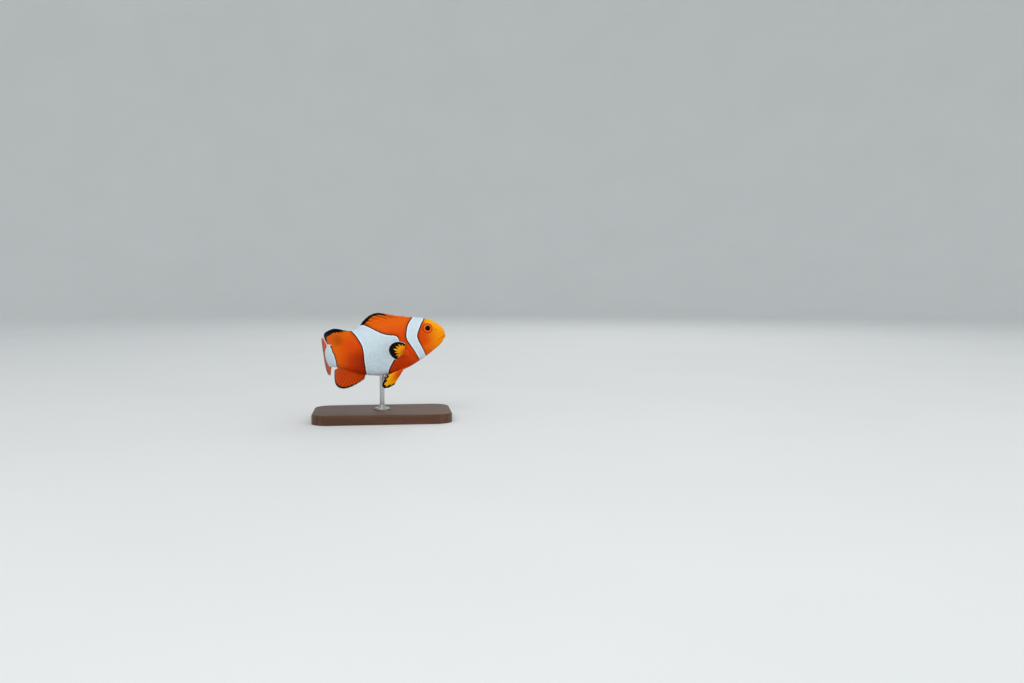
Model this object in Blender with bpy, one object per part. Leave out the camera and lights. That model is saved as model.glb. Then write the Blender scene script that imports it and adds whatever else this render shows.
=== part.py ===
"""Clownfish, life size, swimming with its tail swept to its left, held on a small display stand.

The fish is described in its own frame: 'along' runs from the snout (0) to the end of the tail
stem (1), 'side' is positive to the fish's left and 'up' is positive to its back. All three are
shares of the standard length. place() lays them on the bent spine.
"""

import math

import bmesh
import bpy
import numpy as np
from mathutils import Matrix, Vector

# ---------------------------------------------------------------- driving sizes, in metres

STANDARD_LENGTH = 0.068
AXIS_HEIGHT = 0.0380
PITCH = math.radians(11.0)
GAP = 0.0003

BASE_LENGTH = 0.072
BASE_WIDTH = 0.044
BASE_THICKNESS = 0.005
BASE_CORNER = 0.009
BASE_EDGE = 0.0009
ROD_RADIUS = 0.00125
ROD_DEPTH_IN_BELLY = 0.005
FLANGE_RADIUS = 0.0042
FLANGE_THICKNESS = 0.0014
FLANGE_RECESS = 0.0005

# ---------------------------------------------------------------- the spine's bend

BEND_START = 0.62
BEND_END = 1.10
TAIL_TURN = math.radians(78.0)
SPINE_REACH = 1.40
SPINE_STEPS = 700

# ---------------------------------------------------------------- the body's outline

# along, back, belly, half width: shares of the standard length
BODY = (
    (0.000, 0.012, -0.010, 0.010),
    (0.008, 0.044, -0.021, 0.024),
    (0.036, 0.091, -0.050, 0.041),
    (0.090, 0.138, -0.088, 0.058),
    (0.150, 0.163, -0.122, 0.071),
    (0.220, 0.184, -0.155, 0.083),
    (0.310, 0.204, -0.189, 0.092),
    (0.420, 0.213, -0.214, 0.094),
    (0.520, 0.203, -0.219, 0.088),
    (0.640, 0.172, -0.193, 0.073),
    (0.760, 0.130, -0.141, 0.054),
    (0.870, 0.095, -0.099, 0.038),
    (0.940, 0.085, -0.086, 0.030),
    (1.000, 0.089, -0.089, 0.023),
)
BACK_SHARPNESS = 1.15
BELLY_FULLNESS = 0.90
BODY_SEGMENTS = 36

GILL_EDGE = 0.312
GILL_EDGE_NAPE = 0.050
GILL_EDGE_THROAT = 0.110
VENT = 0.640
STEM_START = 0.880

# ---------------------------------------------------------------- mouth, gill covers and eyes

JAW_LINE = ((-0.02, -0.0035), (0.058, -0.0235), (0.092, -0.052), (0.088, -0.12), (-0.02, -0.12))
COVER_CENTRE = (0.245, -0.005)
COVER_RADII = (0.068, 0.083)
COVER_INNER_SIDE = 0.057
EYE_CENTRE = (0.120, 0.078)
EYE_RADIUS = 0.0027
EYE_DEPTH = 0.0019
EYE_SINK = 0.00090

# ---------------------------------------------------------------- fins

FIN_ROOT_THICKNESS = 0.0009
FIN_MARGIN_THICKNESS = 0.0005
FIN_COLUMNS = 22
FIN_ROWS = 3

DORSAL_FRONT = {
    "root": (0.270, 0.652),
    "rake": 1.6,
    "margin": ((0.292, 0.211), (0.36, 0.240), (0.43, 0.265), (0.487, 0.279), (0.54, 0.258),
               (0.585, 0.234), (0.628, 0.207), (0.664, 0.180)),
}
DORSAL_REAR = {
    "root": (0.672, 0.880),
    "rake": 1.0,
    "margin": ((0.690, 0.176), (0.755, 0.190), (0.808, 0.212), (0.858, 0.220), (0.916, 0.212),
               (0.974, 0.194), (0.990, 0.172), (0.972, 0.138), (0.947, 0.106)),
}
ANAL = {
    "root": (0.664, 0.868),
    "rake": 1.0,
    "margin": ((0.684, -0.222), (0.745, -0.246), (0.805, -0.262), (0.862, -0.266), (0.920, -0.252),
               (0.965, -0.222), (0.978, -0.185), (0.962, -0.146), (0.935, -0.110)),
}
TAIL_FIN = {"start": 1.0055, "root_half": 0.084, "centre": 1.050, "length": 0.215, "half_height": 0.162,
            "fan": math.radians(78.0)}

# roots are (along, up) at their upper and lower ends; directions are (towards the tail, outwards, upwards)
PECTORAL = {"upper_root": (0.309, -0.038), "lower_root": (0.325, -0.110), "middle": (0.62, 0.735, 0.26),
            "spread": (-0.155, -0.196, 0.968), "centre": 0.116, "length": 0.106, "half_height": 0.080,
            "fan": math.radians(80.0), "cup": 0.020}
PELVIC = {"upper_root": (0.345, -0.184), "lower_root": (0.368, -0.196), "middle": (0.860, 0.190, -0.470),
          "spread": (0.450, 0.240, 0.860), "centre": 0.122, "length": 0.110, "half_height": 0.050,
          "fan": math.radians(76.0), "cup": 0.010}

# ---------------------------------------------------------------- materials

PAINTS = {
    "orange_skin": ((0.72, 0.16, 0.012), 0.42, 0.0),
    "white_skin": ((0.72, 0.77, 0.80), 0.45, 0.0),
    "fin_orange": ((0.66, 0.13, 0.012), 0.45, 0.0),
    "eye_glass": ((0.78, 0.22, 0.02), 0.08, 0.0),
    "walnut": ((0.11, 0.048, 0.022), 0.40, 0.0),
    "steel": ((0.56, 0.56, 0.55), 0.28, 1.0),
}


def clear_scene():
    for item in list(bpy.data.objects):
        bpy.data.objects.remove(item, do_unlink=True)


def paint(name):
    material = bpy.data.materials.get(name)
    if material is None:
        colour, roughness, metallic = PAINTS[name]
        material = bpy.data.materials.new(name)
        material.use_nodes = True
        shader = material.node_tree.nodes["Principled BSDF"]
        shader.inputs["Base Color"].default_value = (*colour, 1.0)
        shader.inputs["Roughness"].default_value = roughness
        shader.inputs["Metallic"].default_value = metallic
    return material


def smooth_curve(knots, values, x):
    """A cubic through the values at the knots, with its slopes taken from the neighbours."""
    knots = np.asarray(knots, float)
    values = np.asarray(values, float)
    steps = np.diff(knots)
    rises = np.diff(values, axis=0)
    rises = rises / (steps if values.ndim == 1 else steps[:, None])
    slopes = np.empty_like(values)
    slopes[0] = rises[0]
    slopes[-1] = rises[-1]
    for i in range(1, len(knots) - 1):
        share = steps[i] / (steps[i - 1] + steps[i])
        slopes[i] = rises[i - 1] * share + rises[i] * (1.0 - share)
    i = int(np.clip(np.searchsorted(knots, x) - 1, 0, len(steps) - 1))
    t = (x - knots[i]) / steps[i]
    start = values[i] * (1 + 2 * t) + slopes[i] * steps[i] * t
    end = values[i + 1] * (3 - 2 * t) - slopes[i + 1] * steps[i] * (1 - t)
    return start * (1 - t) ** 2 + end * t ** 2


def body_sizes(along):
    """Back, belly and half width there. The square root keeps the snout round."""
    table = np.array(BODY)
    return smooth_curve(np.sqrt(table[:, 0]), table[:, 1:], math.sqrt(min(max(along, 0.0), 1.0)))


def turn_at(along):
    share = min(max((along - BEND_START) / (BEND_END - BEND_START), 0.0), 1.0)
    return TAIL_TURN * share * share * (3.0 - 2.0 * share)


def make_spine():
    """Points of the spine in plan view, with 'along' 0.5 at the frame's origin."""
    stations = np.linspace(0.0, SPINE_REACH, SPINE_STEPS + 1)
    middles = (stations[1:] + stations[:-1]) / 2
    turns = np.array([turn_at(value) for value in middles])
    step = SPINE_REACH / SPINE_STEPS
    x = 0.5 - np.concatenate(([0.0], np.cumsum(np.cos(turns)) * step))
    y = np.concatenate(([0.0], np.cumsum(np.sin(turns)) * step))
    return stations, x, y


SPINE_STATIONS, SPINE_X, SPINE_Y = make_spine()


def place(along, side, up):
    turn = turn_at(along)
    x = np.interp(along, SPINE_STATIONS, SPINE_X) + side * math.sin(turn)
    if along < 0.0:
        x = 0.5 - along
    y = np.interp(along, SPINE_STATIONS, SPINE_Y) + side * math.cos(turn)
    return Vector((x, y, up)) * STANDARD_LENGTH


def body_point(along, angle):
    back, belly, half_width = body_sizes(along)
    power = BACK_SHARPNESS if math.sin(angle) > 0 else BELLY_FULLNESS
    across = math.cos(angle)
    side = half_width * math.copysign(abs(across) ** power, across)
    up = (back + belly) / 2 + (back - belly) / 2 * math.sin(angle)
    return place(along, side, up)


def skin_side(along, up):
    """How far out the body's surface is at that height."""
    back, belly, half_width = body_sizes(along)
    sine = min(max((up - (back + belly) / 2) / ((back - belly) / 2), -1.0), 1.0)
    power = BACK_SHARPNESS if sine > 0 else BELLY_FULLNESS
    return half_width * math.sqrt(1 - sine * sine) ** power


def gill_edge(angle):
    height = math.sin(angle)
    if height > 0:
        return GILL_EDGE - GILL_EDGE_NAPE * height ** 2
    return GILL_EDGE - GILL_EDGE_THROAT * height ** 2


def add_object(name, mesh, material, parent=None):
    mesh.materials.append(paint(material))
    mesh.shade_smooth()
    mesh.set_sharp_from_angle(angle=math.radians(40.0))
    item = bpy.data.objects.new(name, mesh)
    bpy.context.scene.collection.objects.link(item)
    item.parent = parent
    return item


def finish_mesh(shape, name):
    bmesh.ops.recalc_face_normals(shape, faces=shape.faces)
    mesh = bpy.data.meshes.new(name)
    shape.to_mesh(mesh)
    shape.free()
    return mesh


def loft(name, start, end, rings, snout=False):
    """A closed length of the body. start and end give 'along' for each angle round it."""
    shape = bmesh.new()
    angles = [2 * math.pi * (k + 0.5) / BODY_SEGMENTS for k in range(BODY_SEGMENTS)]
    loops = []
    for ring in range(rings + 1):
        share = ring / rings
        if snout:
            share = max(share, 0.12 / rings) ** 1.7
        loop = []
        for angle in angles:
            along = start(angle) + (end(angle) - start(angle)) * share
            loop.append(shape.verts.new(body_point(along, angle)))
        loops.append(loop)
    for near, far in zip(loops, loops[1:]):
        for k in range(BODY_SEGMENTS):
            after = (k + 1) % BODY_SEGMENTS
            shape.faces.new((near[k], near[after], far[after], far[k]))
    for loop, edge in ((loops[0], start), (loops[-1], end)):
        back, belly, _ = body_sizes(edge(0.0))
        centre = shape.verts.new(place(edge(0.0), 0.0, (back + belly) / 2))
        for k in range(BODY_SEGMENTS):
            shape.faces.new((loop[k], loop[(k + 1) % BODY_SEGMENTS], centre))
    return finish_mesh(shape, name)


def level(value):
    return lambda angle: value


def prism(name, outline, inner, outer, parent):
    """A closed block over an outline in the (along, up) plane, from side 'inner' to 'outer'."""
    shape = bmesh.new()
    near = [shape.verts.new(place(along, inner, up)) for along, up in outline]
    far = [shape.verts.new(place(along, outer, up)) for along, up in outline]
    shape.faces.new(near)
    shape.faces.new(far)
    for k in range(len(outline)):
        after = (k + 1) % len(outline)
        shape.faces.new((near[k], near[after], far[after], far[k]))
    return as_cutter(name, finish_mesh(shape, name), parent)


def as_cutter(name, mesh, parent=None):
    item = bpy.data.objects.new(name, mesh)
    bpy.context.scene.collection.objects.link(item)
    item.parent = parent
    item.hide_render = True
    item.display_type = "WIRE"
    return item


def boolean(item, cutter, operation):
    modifier = item.modifiers.new(cutter.name, "BOOLEAN")
    modifier.operation = operation
    modifier.solver = "EXACT"
    modifier.object = cutter


def grown(outline, amount):
    """The outline moved outwards by an amount, corner by corner."""
    points = [Vector(point) for point in outline]
    area = sum(a.x * b.y - b.x * a.y for a, b in zip(points, points[1:] + points[:1]))
    out = 1.0 if area > 0 else -1.0
    moved = []
    for before, here, after in zip(points[-1:] + points[:-1], points, points[1:] + points[:1]):
        first = (here - before).normalized()
        second = (after - here).normalized()
        normal = Vector((first.y + second.y, -first.x - second.x)) * out
        moved.append(here + normal * (amount / max(normal.length_squared / 2, 0.2)))
    return [tuple(point) for point in moved]


def cover_outline():
    return [
        (COVER_CENTRE[0] + COVER_RADII[0] * math.cos(angle), COVER_CENTRE[1] + COVER_RADII[1] * math.sin(angle))
        for angle in (2 * math.pi * k / 28 for k in range(28))
    ]


def eye_frame(hand):
    """Centre of the eye and the way it looks, on the left (1) or right (-1)."""
    along, up = EYE_CENTRE
    step = 0.004
    here = place(along, hand * skin_side(along, up), up)
    behind = place(along + step, hand * skin_side(along + step, up), up)
    above = place(along, hand * skin_side(along, up + step), up + step)
    out = (behind - here).cross(above - here).normalized()
    if out.y * hand < 0:
        out.negate()
    out = (out + Vector((0.0, hand * 0.6, 0.0))).normalized()
    return here - out * EYE_SINK, out


def eye_mesh(name, hand, extra):
    centre, out = eye_frame(hand)
    shape = bmesh.new()
    bmesh.ops.create_uvsphere(shape, u_segments=24, v_segments=12, radius=1.0)
    size = Matrix.Diagonal((EYE_RADIUS + extra, EYE_RADIUS + extra, EYE_DEPTH + extra, 1.0))
    turn = out.to_track_quat("Z", "Y").to_matrix().to_4x4()
    bmesh.ops.transform(shape, matrix=Matrix.Translation(centre) @ turn @ size, verts=shape.verts)
    return finish_mesh(shape, name)


def make_head(fish):
    block = loft("head", level(0.0), gill_edge, 16, snout=True)
    jaw_block = block.copy()
    cover_block = block.copy()
    gap = GAP / STANDARD_LENGTH
    wide = 0.15
    head = add_object("head", block, "orange_skin", fish)
    jaw = add_object("lower_jaw", jaw_block, "orange_skin", fish)
    boolean(jaw, prism("jaw_keep", JAW_LINE, -wide, wide, fish), "INTERSECT")
    boolean(head, prism("jaw_cut", grown(JAW_LINE, gap), -wide, wide, fish), "DIFFERENCE")
    outline = cover_outline()
    for side, hand in (("right", -1), ("left", 1)):
        inner = hand * COVER_INNER_SIDE
        keep = prism("cover_keep_" + side, outline, inner, hand * wide, fish)
        cut = prism("cover_cut_" + side, grown(outline, gap), inner - hand * gap, hand * wide, fish)
        cover = add_object("gill_cover_" + side, cover_block.copy(), "white_skin", fish)
        boolean(cover, keep, "INTERSECT")
        boolean(head, cut, "DIFFERENCE")
        socket = as_cutter("socket_" + side, eye_mesh("socket_" + side, hand, GAP), fish)
        boolean(head, socket, "DIFFERENCE")
        add_object("eye_" + side, eye_mesh("eye_" + side, hand, 0.0), "eye_glass", fish)


def make_body(fish):
    gap = GAP / STANDARD_LENGTH
    trunk_mesh = loft("trunk", lambda angle: gill_edge(angle) + gap, level(VENT - gap / 2), 12)
    trunk = add_object("trunk", trunk_mesh, "orange_skin", fish)
    shape = bmesh.new()
    top = AXIS_HEIGHT - 0.222 * STANDARD_LENGTH + ROD_DEPTH_IN_BELLY + GAP
    bmesh.ops.create_cone(
        shape, cap_ends=True, segments=24, radius1=ROD_RADIUS + GAP, radius2=ROD_RADIUS + GAP, depth=top
    )
    bmesh.ops.translate(shape, vec=(0.0, 0.0, top / 2), verts=shape.verts)
    boolean(trunk, as_cutter("rod_socket", finish_mesh(shape, "rod_socket")), "DIFFERENCE")
    rear = loft("rear_body", level(VENT + gap / 2), level(STEM_START - gap / 2), 10)
    add_object("rear_body", rear, "orange_skin", fish)
    stem = loft("tail_stem", level(STEM_START + gap / 2), level(1.0), 7)
    add_object("tail_stem", stem, "white_skin", fish)


def plate(name, surface, fish, columns=FIN_COLUMNS, rows=FIN_ROWS):
    """A closed fin plate. surface(across, out) gives its middle point and its normal."""
    shape = bmesh.new()
    sides = []
    for sign in (1.0, -1.0):
        grid = []
        for column in range(columns + 1):
            line = []
            for row in range(rows + 1):
                point, normal = surface(column / columns, row / rows)
                share = row / rows
                thickness = FIN_ROOT_THICKNESS * (1 - share) + FIN_MARGIN_THICKNESS * share
                line.append(shape.verts.new(point + normal * (sign * thickness / 2)))
            grid.append(line)
        sides.append(grid)
    for grid in sides:
        for column in range(columns):
            for row in range(rows):
                shape.faces.new((
                    grid[column][row], grid[column + 1][row],
                    grid[column + 1][row + 1], grid[column][row + 1],
                ))
    border = [(column, 0) for column in range(columns)]
    border += [(columns, row) for row in range(rows)]
    border += [(column, rows) for column in range(columns, 0, -1)]
    border += [(0, row) for row in range(rows, 0, -1)]
    for (a, b), (c, d) in zip(border, border[1:] + border[:1]):
        shape.faces.new((sides[0][a][b], sides[0][c][d], sides[1][c][d], sides[1][a][b]))
    return add_object(name, finish_mesh(shape, name), "fin_orange", fish)


def spine_normal(along):
    turn = turn_at(along)
    return Vector((math.sin(turn), math.cos(turn), 0.0))


def middle_fin(name, fin, above, fish):
    """A fin on the back (above) or under the belly, following the body's bend."""
    knots = np.linspace(0.0, 1.0, len(fin["margin"]))
    start, end = fin["root"]
    lift = 1.15 * GAP / STANDARD_LENGTH

    def surface(across, out):
        root_along = start + (end - start) * across ** fin["rake"]
        back, belly, _ = body_sizes(root_along)
        root_up = back + lift if above else belly - lift
        margin_along, margin_up = smooth_curve(knots, fin["margin"], across)
        along = root_along + (margin_along - root_along) * out
        up = root_up + (margin_up - root_up) * out
        return place(along, 0.0, up), spine_normal(along)

    return plate(name, surface, fish)


def fan_margin(fin, share):
    """The rounded margin of a fan, along its middle and across it, for a share from -1 to 1."""
    angle = fin["fan"] * share
    return fin["centre"] + fin["length"] * math.cos(angle), fin["half_height"] * math.sin(angle)


def make_tail_fin(fish):
    def surface(across, out):
        share = 2 * across - 1
        margin_along, margin_up = fan_margin(TAIL_FIN, share)
        along = TAIL_FIN["start"] + (margin_along - TAIL_FIN["start"]) * out
        root_up = TAIL_FIN["root_half"] * share
        return place(along, 0.0, root_up + (margin_up - root_up) * out), spine_normal(along)

    return plate("tail_fin", surface, fish, rows=6)


def paired_fin(name, fin, hand, fish):
    """A fan on one side, its root standing clear of the body."""
    middle = Vector((-fin["middle"][0], hand * fin["middle"][1], fin["middle"][2])).normalized()
    spread = Vector((-fin["spread"][0], hand * fin["spread"][1], fin["spread"][2]))
    spread = (spread - middle * spread.dot(middle)).normalized()
    normal = middle.cross(spread).normalized() * hand
    clearance = (GAP + FIN_ROOT_THICKNESS / 2) / STANDARD_LENGTH

    def root_point(share):
        along, up = Vector(fin["lower_root"]).lerp(Vector(fin["upper_root"]), (share + 1) / 2)
        return place(along, hand * (skin_side(along, up) + clearance), up)

    base = root_point(0.0)

    def surface(across, out):
        share = 2 * across - 1
        root = root_point(share)
        reach, height = fan_margin(fin, share)
        bulge = fin["cup"] * (1.0 - share ** 2) * math.sin(math.pi * out)
        margin = base + (middle * reach + spread * height) * STANDARD_LENGTH
        return root.lerp(margin, out) + normal * (bulge * STANDARD_LENGTH), normal

    return plate(name, surface, fish, columns=16, rows=4)


def make_fins(fish):
    middle_fin("dorsal_fin_front", DORSAL_FRONT, True, fish)
    middle_fin("dorsal_fin_rear", DORSAL_REAR, True, fish)
    middle_fin("anal_fin", ANAL, False, fish)
    make_tail_fin(fish)
    for side, hand in (("right", -1), ("left", 1)):
        paired_fin("pectoral_fin_" + side, PECTORAL, hand, fish)
        paired_fin("pelvic_fin_" + side, PELVIC, hand, fish)


def make_stand():
    shape = bmesh.new()
    corners = []
    for quarter in range(4):
        turn = math.pi / 2 * quarter
        x = (BASE_LENGTH / 2 - BASE_CORNER) * (1 if quarter in (0, 3) else -1)
        y = (BASE_WIDTH / 2 - BASE_CORNER) * (1 if quarter in (0, 1) else -1)
        for step in range(7):
            angle = turn + math.pi / 2 * step / 6
            corners.append(shape.verts.new((x + BASE_CORNER * math.cos(angle), y + BASE_CORNER * math.sin(angle), 0.0)))
    bottom = shape.faces.new(corners)
    raised = bmesh.ops.extrude_face_region(shape, geom=[bottom])
    top = [item for item in raised["geom"] if isinstance(item, bmesh.types.BMVert)]
    bmesh.ops.translate(shape, vec=(0.0, 0.0, BASE_THICKNESS), verts=top)
    rim = [edge for edge in shape.edges if all(abs(v.co.z - BASE_THICKNESS) < 1e-6 for v in edge.verts)]
    bmesh.ops.bevel(shape, geom=rim, offset=BASE_EDGE, segments=3, profile=0.5, affect="EDGES")
    base = add_object("stand_base", finish_mesh(shape, "stand_base"), "walnut")
    recess = bmesh.new()
    bmesh.ops.create_cone(
        recess, cap_ends=True, segments=40, radius1=FLANGE_RADIUS + GAP, radius2=FLANGE_RADIUS + GAP, depth=0.004
    )
    bmesh.ops.translate(recess, vec=(0.0, 0.0, BASE_THICKNESS - FLANGE_RECESS + 0.002), verts=recess.verts)
    boolean(base, as_cutter("flange_recess", finish_mesh(recess, "flange_recess")), "DIFFERENCE")

    foot = BASE_THICKNESS - FLANGE_RECESS + GAP
    top = AXIS_HEIGHT - 0.222 * STANDARD_LENGTH + ROD_DEPTH_IN_BELLY
    profile = (
        (0.0, foot), (FLANGE_RADIUS, foot), (FLANGE_RADIUS, foot + FLANGE_THICKNESS * 0.55),
        (FLANGE_RADIUS - 0.0005, foot + FLANGE_THICKNESS), (ROD_RADIUS + 0.0009, foot + FLANGE_THICKNESS),
        (ROD_RADIUS, foot + FLANGE_THICKNESS + 0.0012), (ROD_RADIUS, top), (0.0, top),
    )
    turned = bmesh.new()
    points = [turned.verts.new((radius, 0.0, height)) for radius, height in profile]
    edges = [turned.edges.new(pair) for pair in zip(points, points[1:])]
    bmesh.ops.spin(turned, geom=points + edges, cent=(0, 0, 0), axis=(0, 0, 1), angle=2 * math.pi, steps=24,
                   use_merge=True)
    bmesh.ops.remove_doubles(turned, verts=turned.verts, dist=0.00001)
    add_object("stand_rod", finish_mesh(turned, "stand_rod"), "steel")


def main():
    clear_scene()
    fish = bpy.data.objects.new("fish_pose", None)
    bpy.context.scene.collection.objects.link(fish)
    fish.location = (0.0, 0.0, AXIS_HEIGHT)
    fish.rotation_euler = (0.0, -PITCH, 0.0)
    make_head(fish)
    make_body(fish)
    make_fins(fish)
    make_stand()


main()
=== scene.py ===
import math

import bmesh
import bpy
import numpy as np
from mathutils import Matrix, Vector


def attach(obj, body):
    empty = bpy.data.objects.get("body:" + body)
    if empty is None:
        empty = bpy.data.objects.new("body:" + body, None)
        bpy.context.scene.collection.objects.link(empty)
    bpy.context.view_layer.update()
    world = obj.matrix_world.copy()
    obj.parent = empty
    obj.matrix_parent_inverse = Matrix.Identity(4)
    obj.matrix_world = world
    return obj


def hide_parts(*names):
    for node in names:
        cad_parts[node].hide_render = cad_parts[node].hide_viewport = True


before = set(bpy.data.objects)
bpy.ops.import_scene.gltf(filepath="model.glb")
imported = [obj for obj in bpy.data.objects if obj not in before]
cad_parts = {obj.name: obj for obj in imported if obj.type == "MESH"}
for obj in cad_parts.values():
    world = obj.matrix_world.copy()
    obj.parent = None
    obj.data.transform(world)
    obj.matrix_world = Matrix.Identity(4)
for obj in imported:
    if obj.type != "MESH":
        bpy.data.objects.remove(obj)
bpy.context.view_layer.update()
scene = bpy.context.scene

# The fish is described in its own frame: along from the snout (0) to the end of the tail stem (1),
# side positive to its left, up positive to its back, all as shares of its length.
fish = {
    "length": 0.068,                  # metres
    "axisHeight": 0.0380,
    "headUp": math.radians(11.0),
    "bendStart": 0.62,
    "bendEnd": 1.10,
    "tailTurn": math.radians(78.0),
    "spineReach": 1.40,
    "spineSteps": 700,
    "backSharpness": 1.15,
    "bellyFullness": 0.90,
    "roundAt": 0.12,                  # the section whose outline spaces the columns
    "roundSteps": 4000,
    "skinEnd": 1.062,                 # the skin thins out inside the tail fin
    "endFlare": 0.004,
    "endHalf": 0.0035,
    "gillEdge": 0.312,
    "gillNape": 0.050,
    "gillThroat": 0.110,
}
size = fish["length"]
mm = 0.001
inMm = size * 1000
upCos, upSin = math.cos(fish["headUp"]), math.sin(fish["headUp"])

# along, back, belly, half width
bodyTable = np.array((
    (0.000, 0.012, -0.010, 0.010),
    (0.008, 0.044, -0.021, 0.024),
    (0.036, 0.091, -0.050, 0.041),
    (0.090, 0.138, -0.088, 0.058),
    (0.150, 0.163, -0.122, 0.071),
    (0.220, 0.184, -0.155, 0.083),
    (0.310, 0.204, -0.189, 0.092),
    (0.420, 0.213, -0.214, 0.094),
    (0.520, 0.203, -0.219, 0.088),
    (0.640, 0.172, -0.193, 0.073),
    (0.760, 0.130, -0.141, 0.054),
    (0.870, 0.095, -0.099, 0.038),
    (0.940, 0.085, -0.086, 0.030),
    (1.000, 0.089, -0.089, 0.023),
))


def smoothCurve(knots, values, x):
    # a cubic through the values at the knots, its slopes taken from the neighbours
    knots = np.asarray(knots, float)
    values = np.asarray(values, float)
    flat = values.ndim == 1
    if flat:
        values = values[:, None]
    steps = np.diff(knots)
    rises = np.diff(values, axis=0) / steps[:, None]
    share = (steps[1:] / (steps[:-1] + steps[1:]))[:, None]
    slopes = np.vstack((rises[:1], rises[:-1] * share + rises[1:] * (1 - share), rises[-1:]))
    x = np.asarray(x, float)
    i = np.clip(np.searchsorted(knots, x) - 1, 0, len(steps) - 1)
    t = ((x - knots[i]) / steps[i])[..., None]
    gap = steps[i][..., None]
    start = values[i] * (1 + 2 * t) + slopes[i] * gap * t
    end = values[i + 1] * (3 - 2 * t) - slopes[i + 1] * gap * (1 - t)
    result = start * (1 - t) ** 2 + end * t ** 2
    return result[..., 0] if flat else result


def tableCurve(table, x):
    # the table's first column holds the knots
    table = np.asarray(table)
    return smoothCurve(table[:, 0], table[:, 1:] if table.shape[1] > 2 else table[:, 1], x)


def smoothStep(low, high, x):
    t = np.clip((x - low) / (high - low), 0, 1)
    return t * t * (3 - 2 * t)


def hump(x, centre, width):
    return np.exp(-((x - centre) / width) ** 2)


def unit(way):
    return way / np.linalg.norm(way)


def turnAt(along):
    return fish["tailTurn"] * smoothStep(fish["bendStart"], fish["bendEnd"], along)


spineAt = np.linspace(0.0, fish["spineReach"], fish["spineSteps"] + 1)
spineTurns = turnAt((spineAt[1:] + spineAt[:-1]) / 2)
spineX = 0.5 - np.concatenate(([0.0], np.cumsum(np.cos(spineTurns)) * spineAt[1]))
spineY = np.concatenate(([0.0], np.cumsum(np.sin(spineTurns)) * spineAt[1]))


def place(along, side, up):
    # from the fish's frame to the world, in metres
    along, side, up = np.broadcast_arrays(along, side, up)
    turn = turnAt(along)
    x = np.where(along < 0, 0.5 - along, np.interp(along, spineAt, spineX)) + side * np.sin(turn)
    y = np.interp(along, spineAt, spineY) + side * np.cos(turn)
    spots = np.stack((x * upCos - up * upSin, y, x * upSin + up * upCos), -1)
    return spots * size + (0, 0, fish["axisHeight"])


def bodySizes(along):
    sizes = smoothCurve(np.sqrt(bodyTable[:, 0]), bodyTable[:, 1:], np.sqrt(np.clip(along, 0, 1)))
    past = smoothStep(1.0, fish["skinEnd"], along)
    back, belly, half = np.moveaxis(sizes, -1, 0)
    flare = fish["endFlare"] * past
    return back + flare, belly - flare, half * (1 - past) + fish["endHalf"] * past


def section(along, angle):
    # side and up on the body's surface: angle 0 is its left flank, a quarter turn is its back
    back, belly, half = bodySizes(along)
    power = np.where(np.sin(angle) > 0, fish["backSharpness"], fish["bellyFullness"])
    across = np.cos(angle)
    side = half * np.sign(across) * np.abs(across) ** power
    return side, (back + belly) / 2 + (back - belly) / 2 * np.sin(angle)


def angleOf(along, up):
    back, belly, half = bodySizes(along)
    return np.arcsin(np.clip((up - (back + belly) / 2) / ((back - belly) / 2), -1, 1))


def gillEdge(angle):
    height = np.sin(angle)
    return fish["gillEdge"] - np.where(height > 0, fish["gillNape"], fish["gillThroat"]) * height ** 2


# even steps round the body, from the belly up its left flank, over the back and down its right one
roundAngles = np.linspace(-math.pi / 2, math.pi * 1.5, fish["roundSteps"] + 1)
roundSteps = np.hypot(*np.diff(np.stack(section(fish["roundAt"], roundAngles)), axis=1))
roundShares = np.concatenate(([0.0], np.cumsum(roundSteps))) / roundSteps.sum()


def angleAt(share):
    return np.interp(share % 1.0, roundShares, roundAngles)


def shareAt(angle):
    return np.interp((angle + math.pi / 2) % (2 * math.pi) - math.pi / 2, roundAngles, roundShares)


def distanceTo(spots, line):
    # in millimetres
    best = np.full(len(spots), np.inf)
    for a, b in zip(line[:-1], line[1:]):
        run = b - a
        share = np.clip(((spots - a) @ run) / (run @ run), 0, 1)
        best = np.minimum(best, np.hypot(*(spots - a - share[:, None] * run).T))
    return best * inMm


def insideOf(spots, outline):
    x, y = spots.T
    inside = np.zeros(len(spots), bool)
    for (ax, ay), (bx, by) in zip(outline, np.roll(outline, -1, axis=0)):
        if ay != by:
            inside ^= ((ay > y) != (by > y)) & (x < ax + (y - ay) / (by - ay) * (bx - ax))
    return inside


def smoothLine(points, steps=6):
    points = np.array(points, float)
    knots = np.concatenate(([0.0], np.cumsum(np.hypot(*np.diff(points, axis=0).T))))
    shares = np.concatenate([np.linspace(a, b, steps, endpoint=False) for a, b in zip(knots, knots[1:])])
    return np.vstack((smoothCurve(knots, points, shares), points[-1:]))


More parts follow.
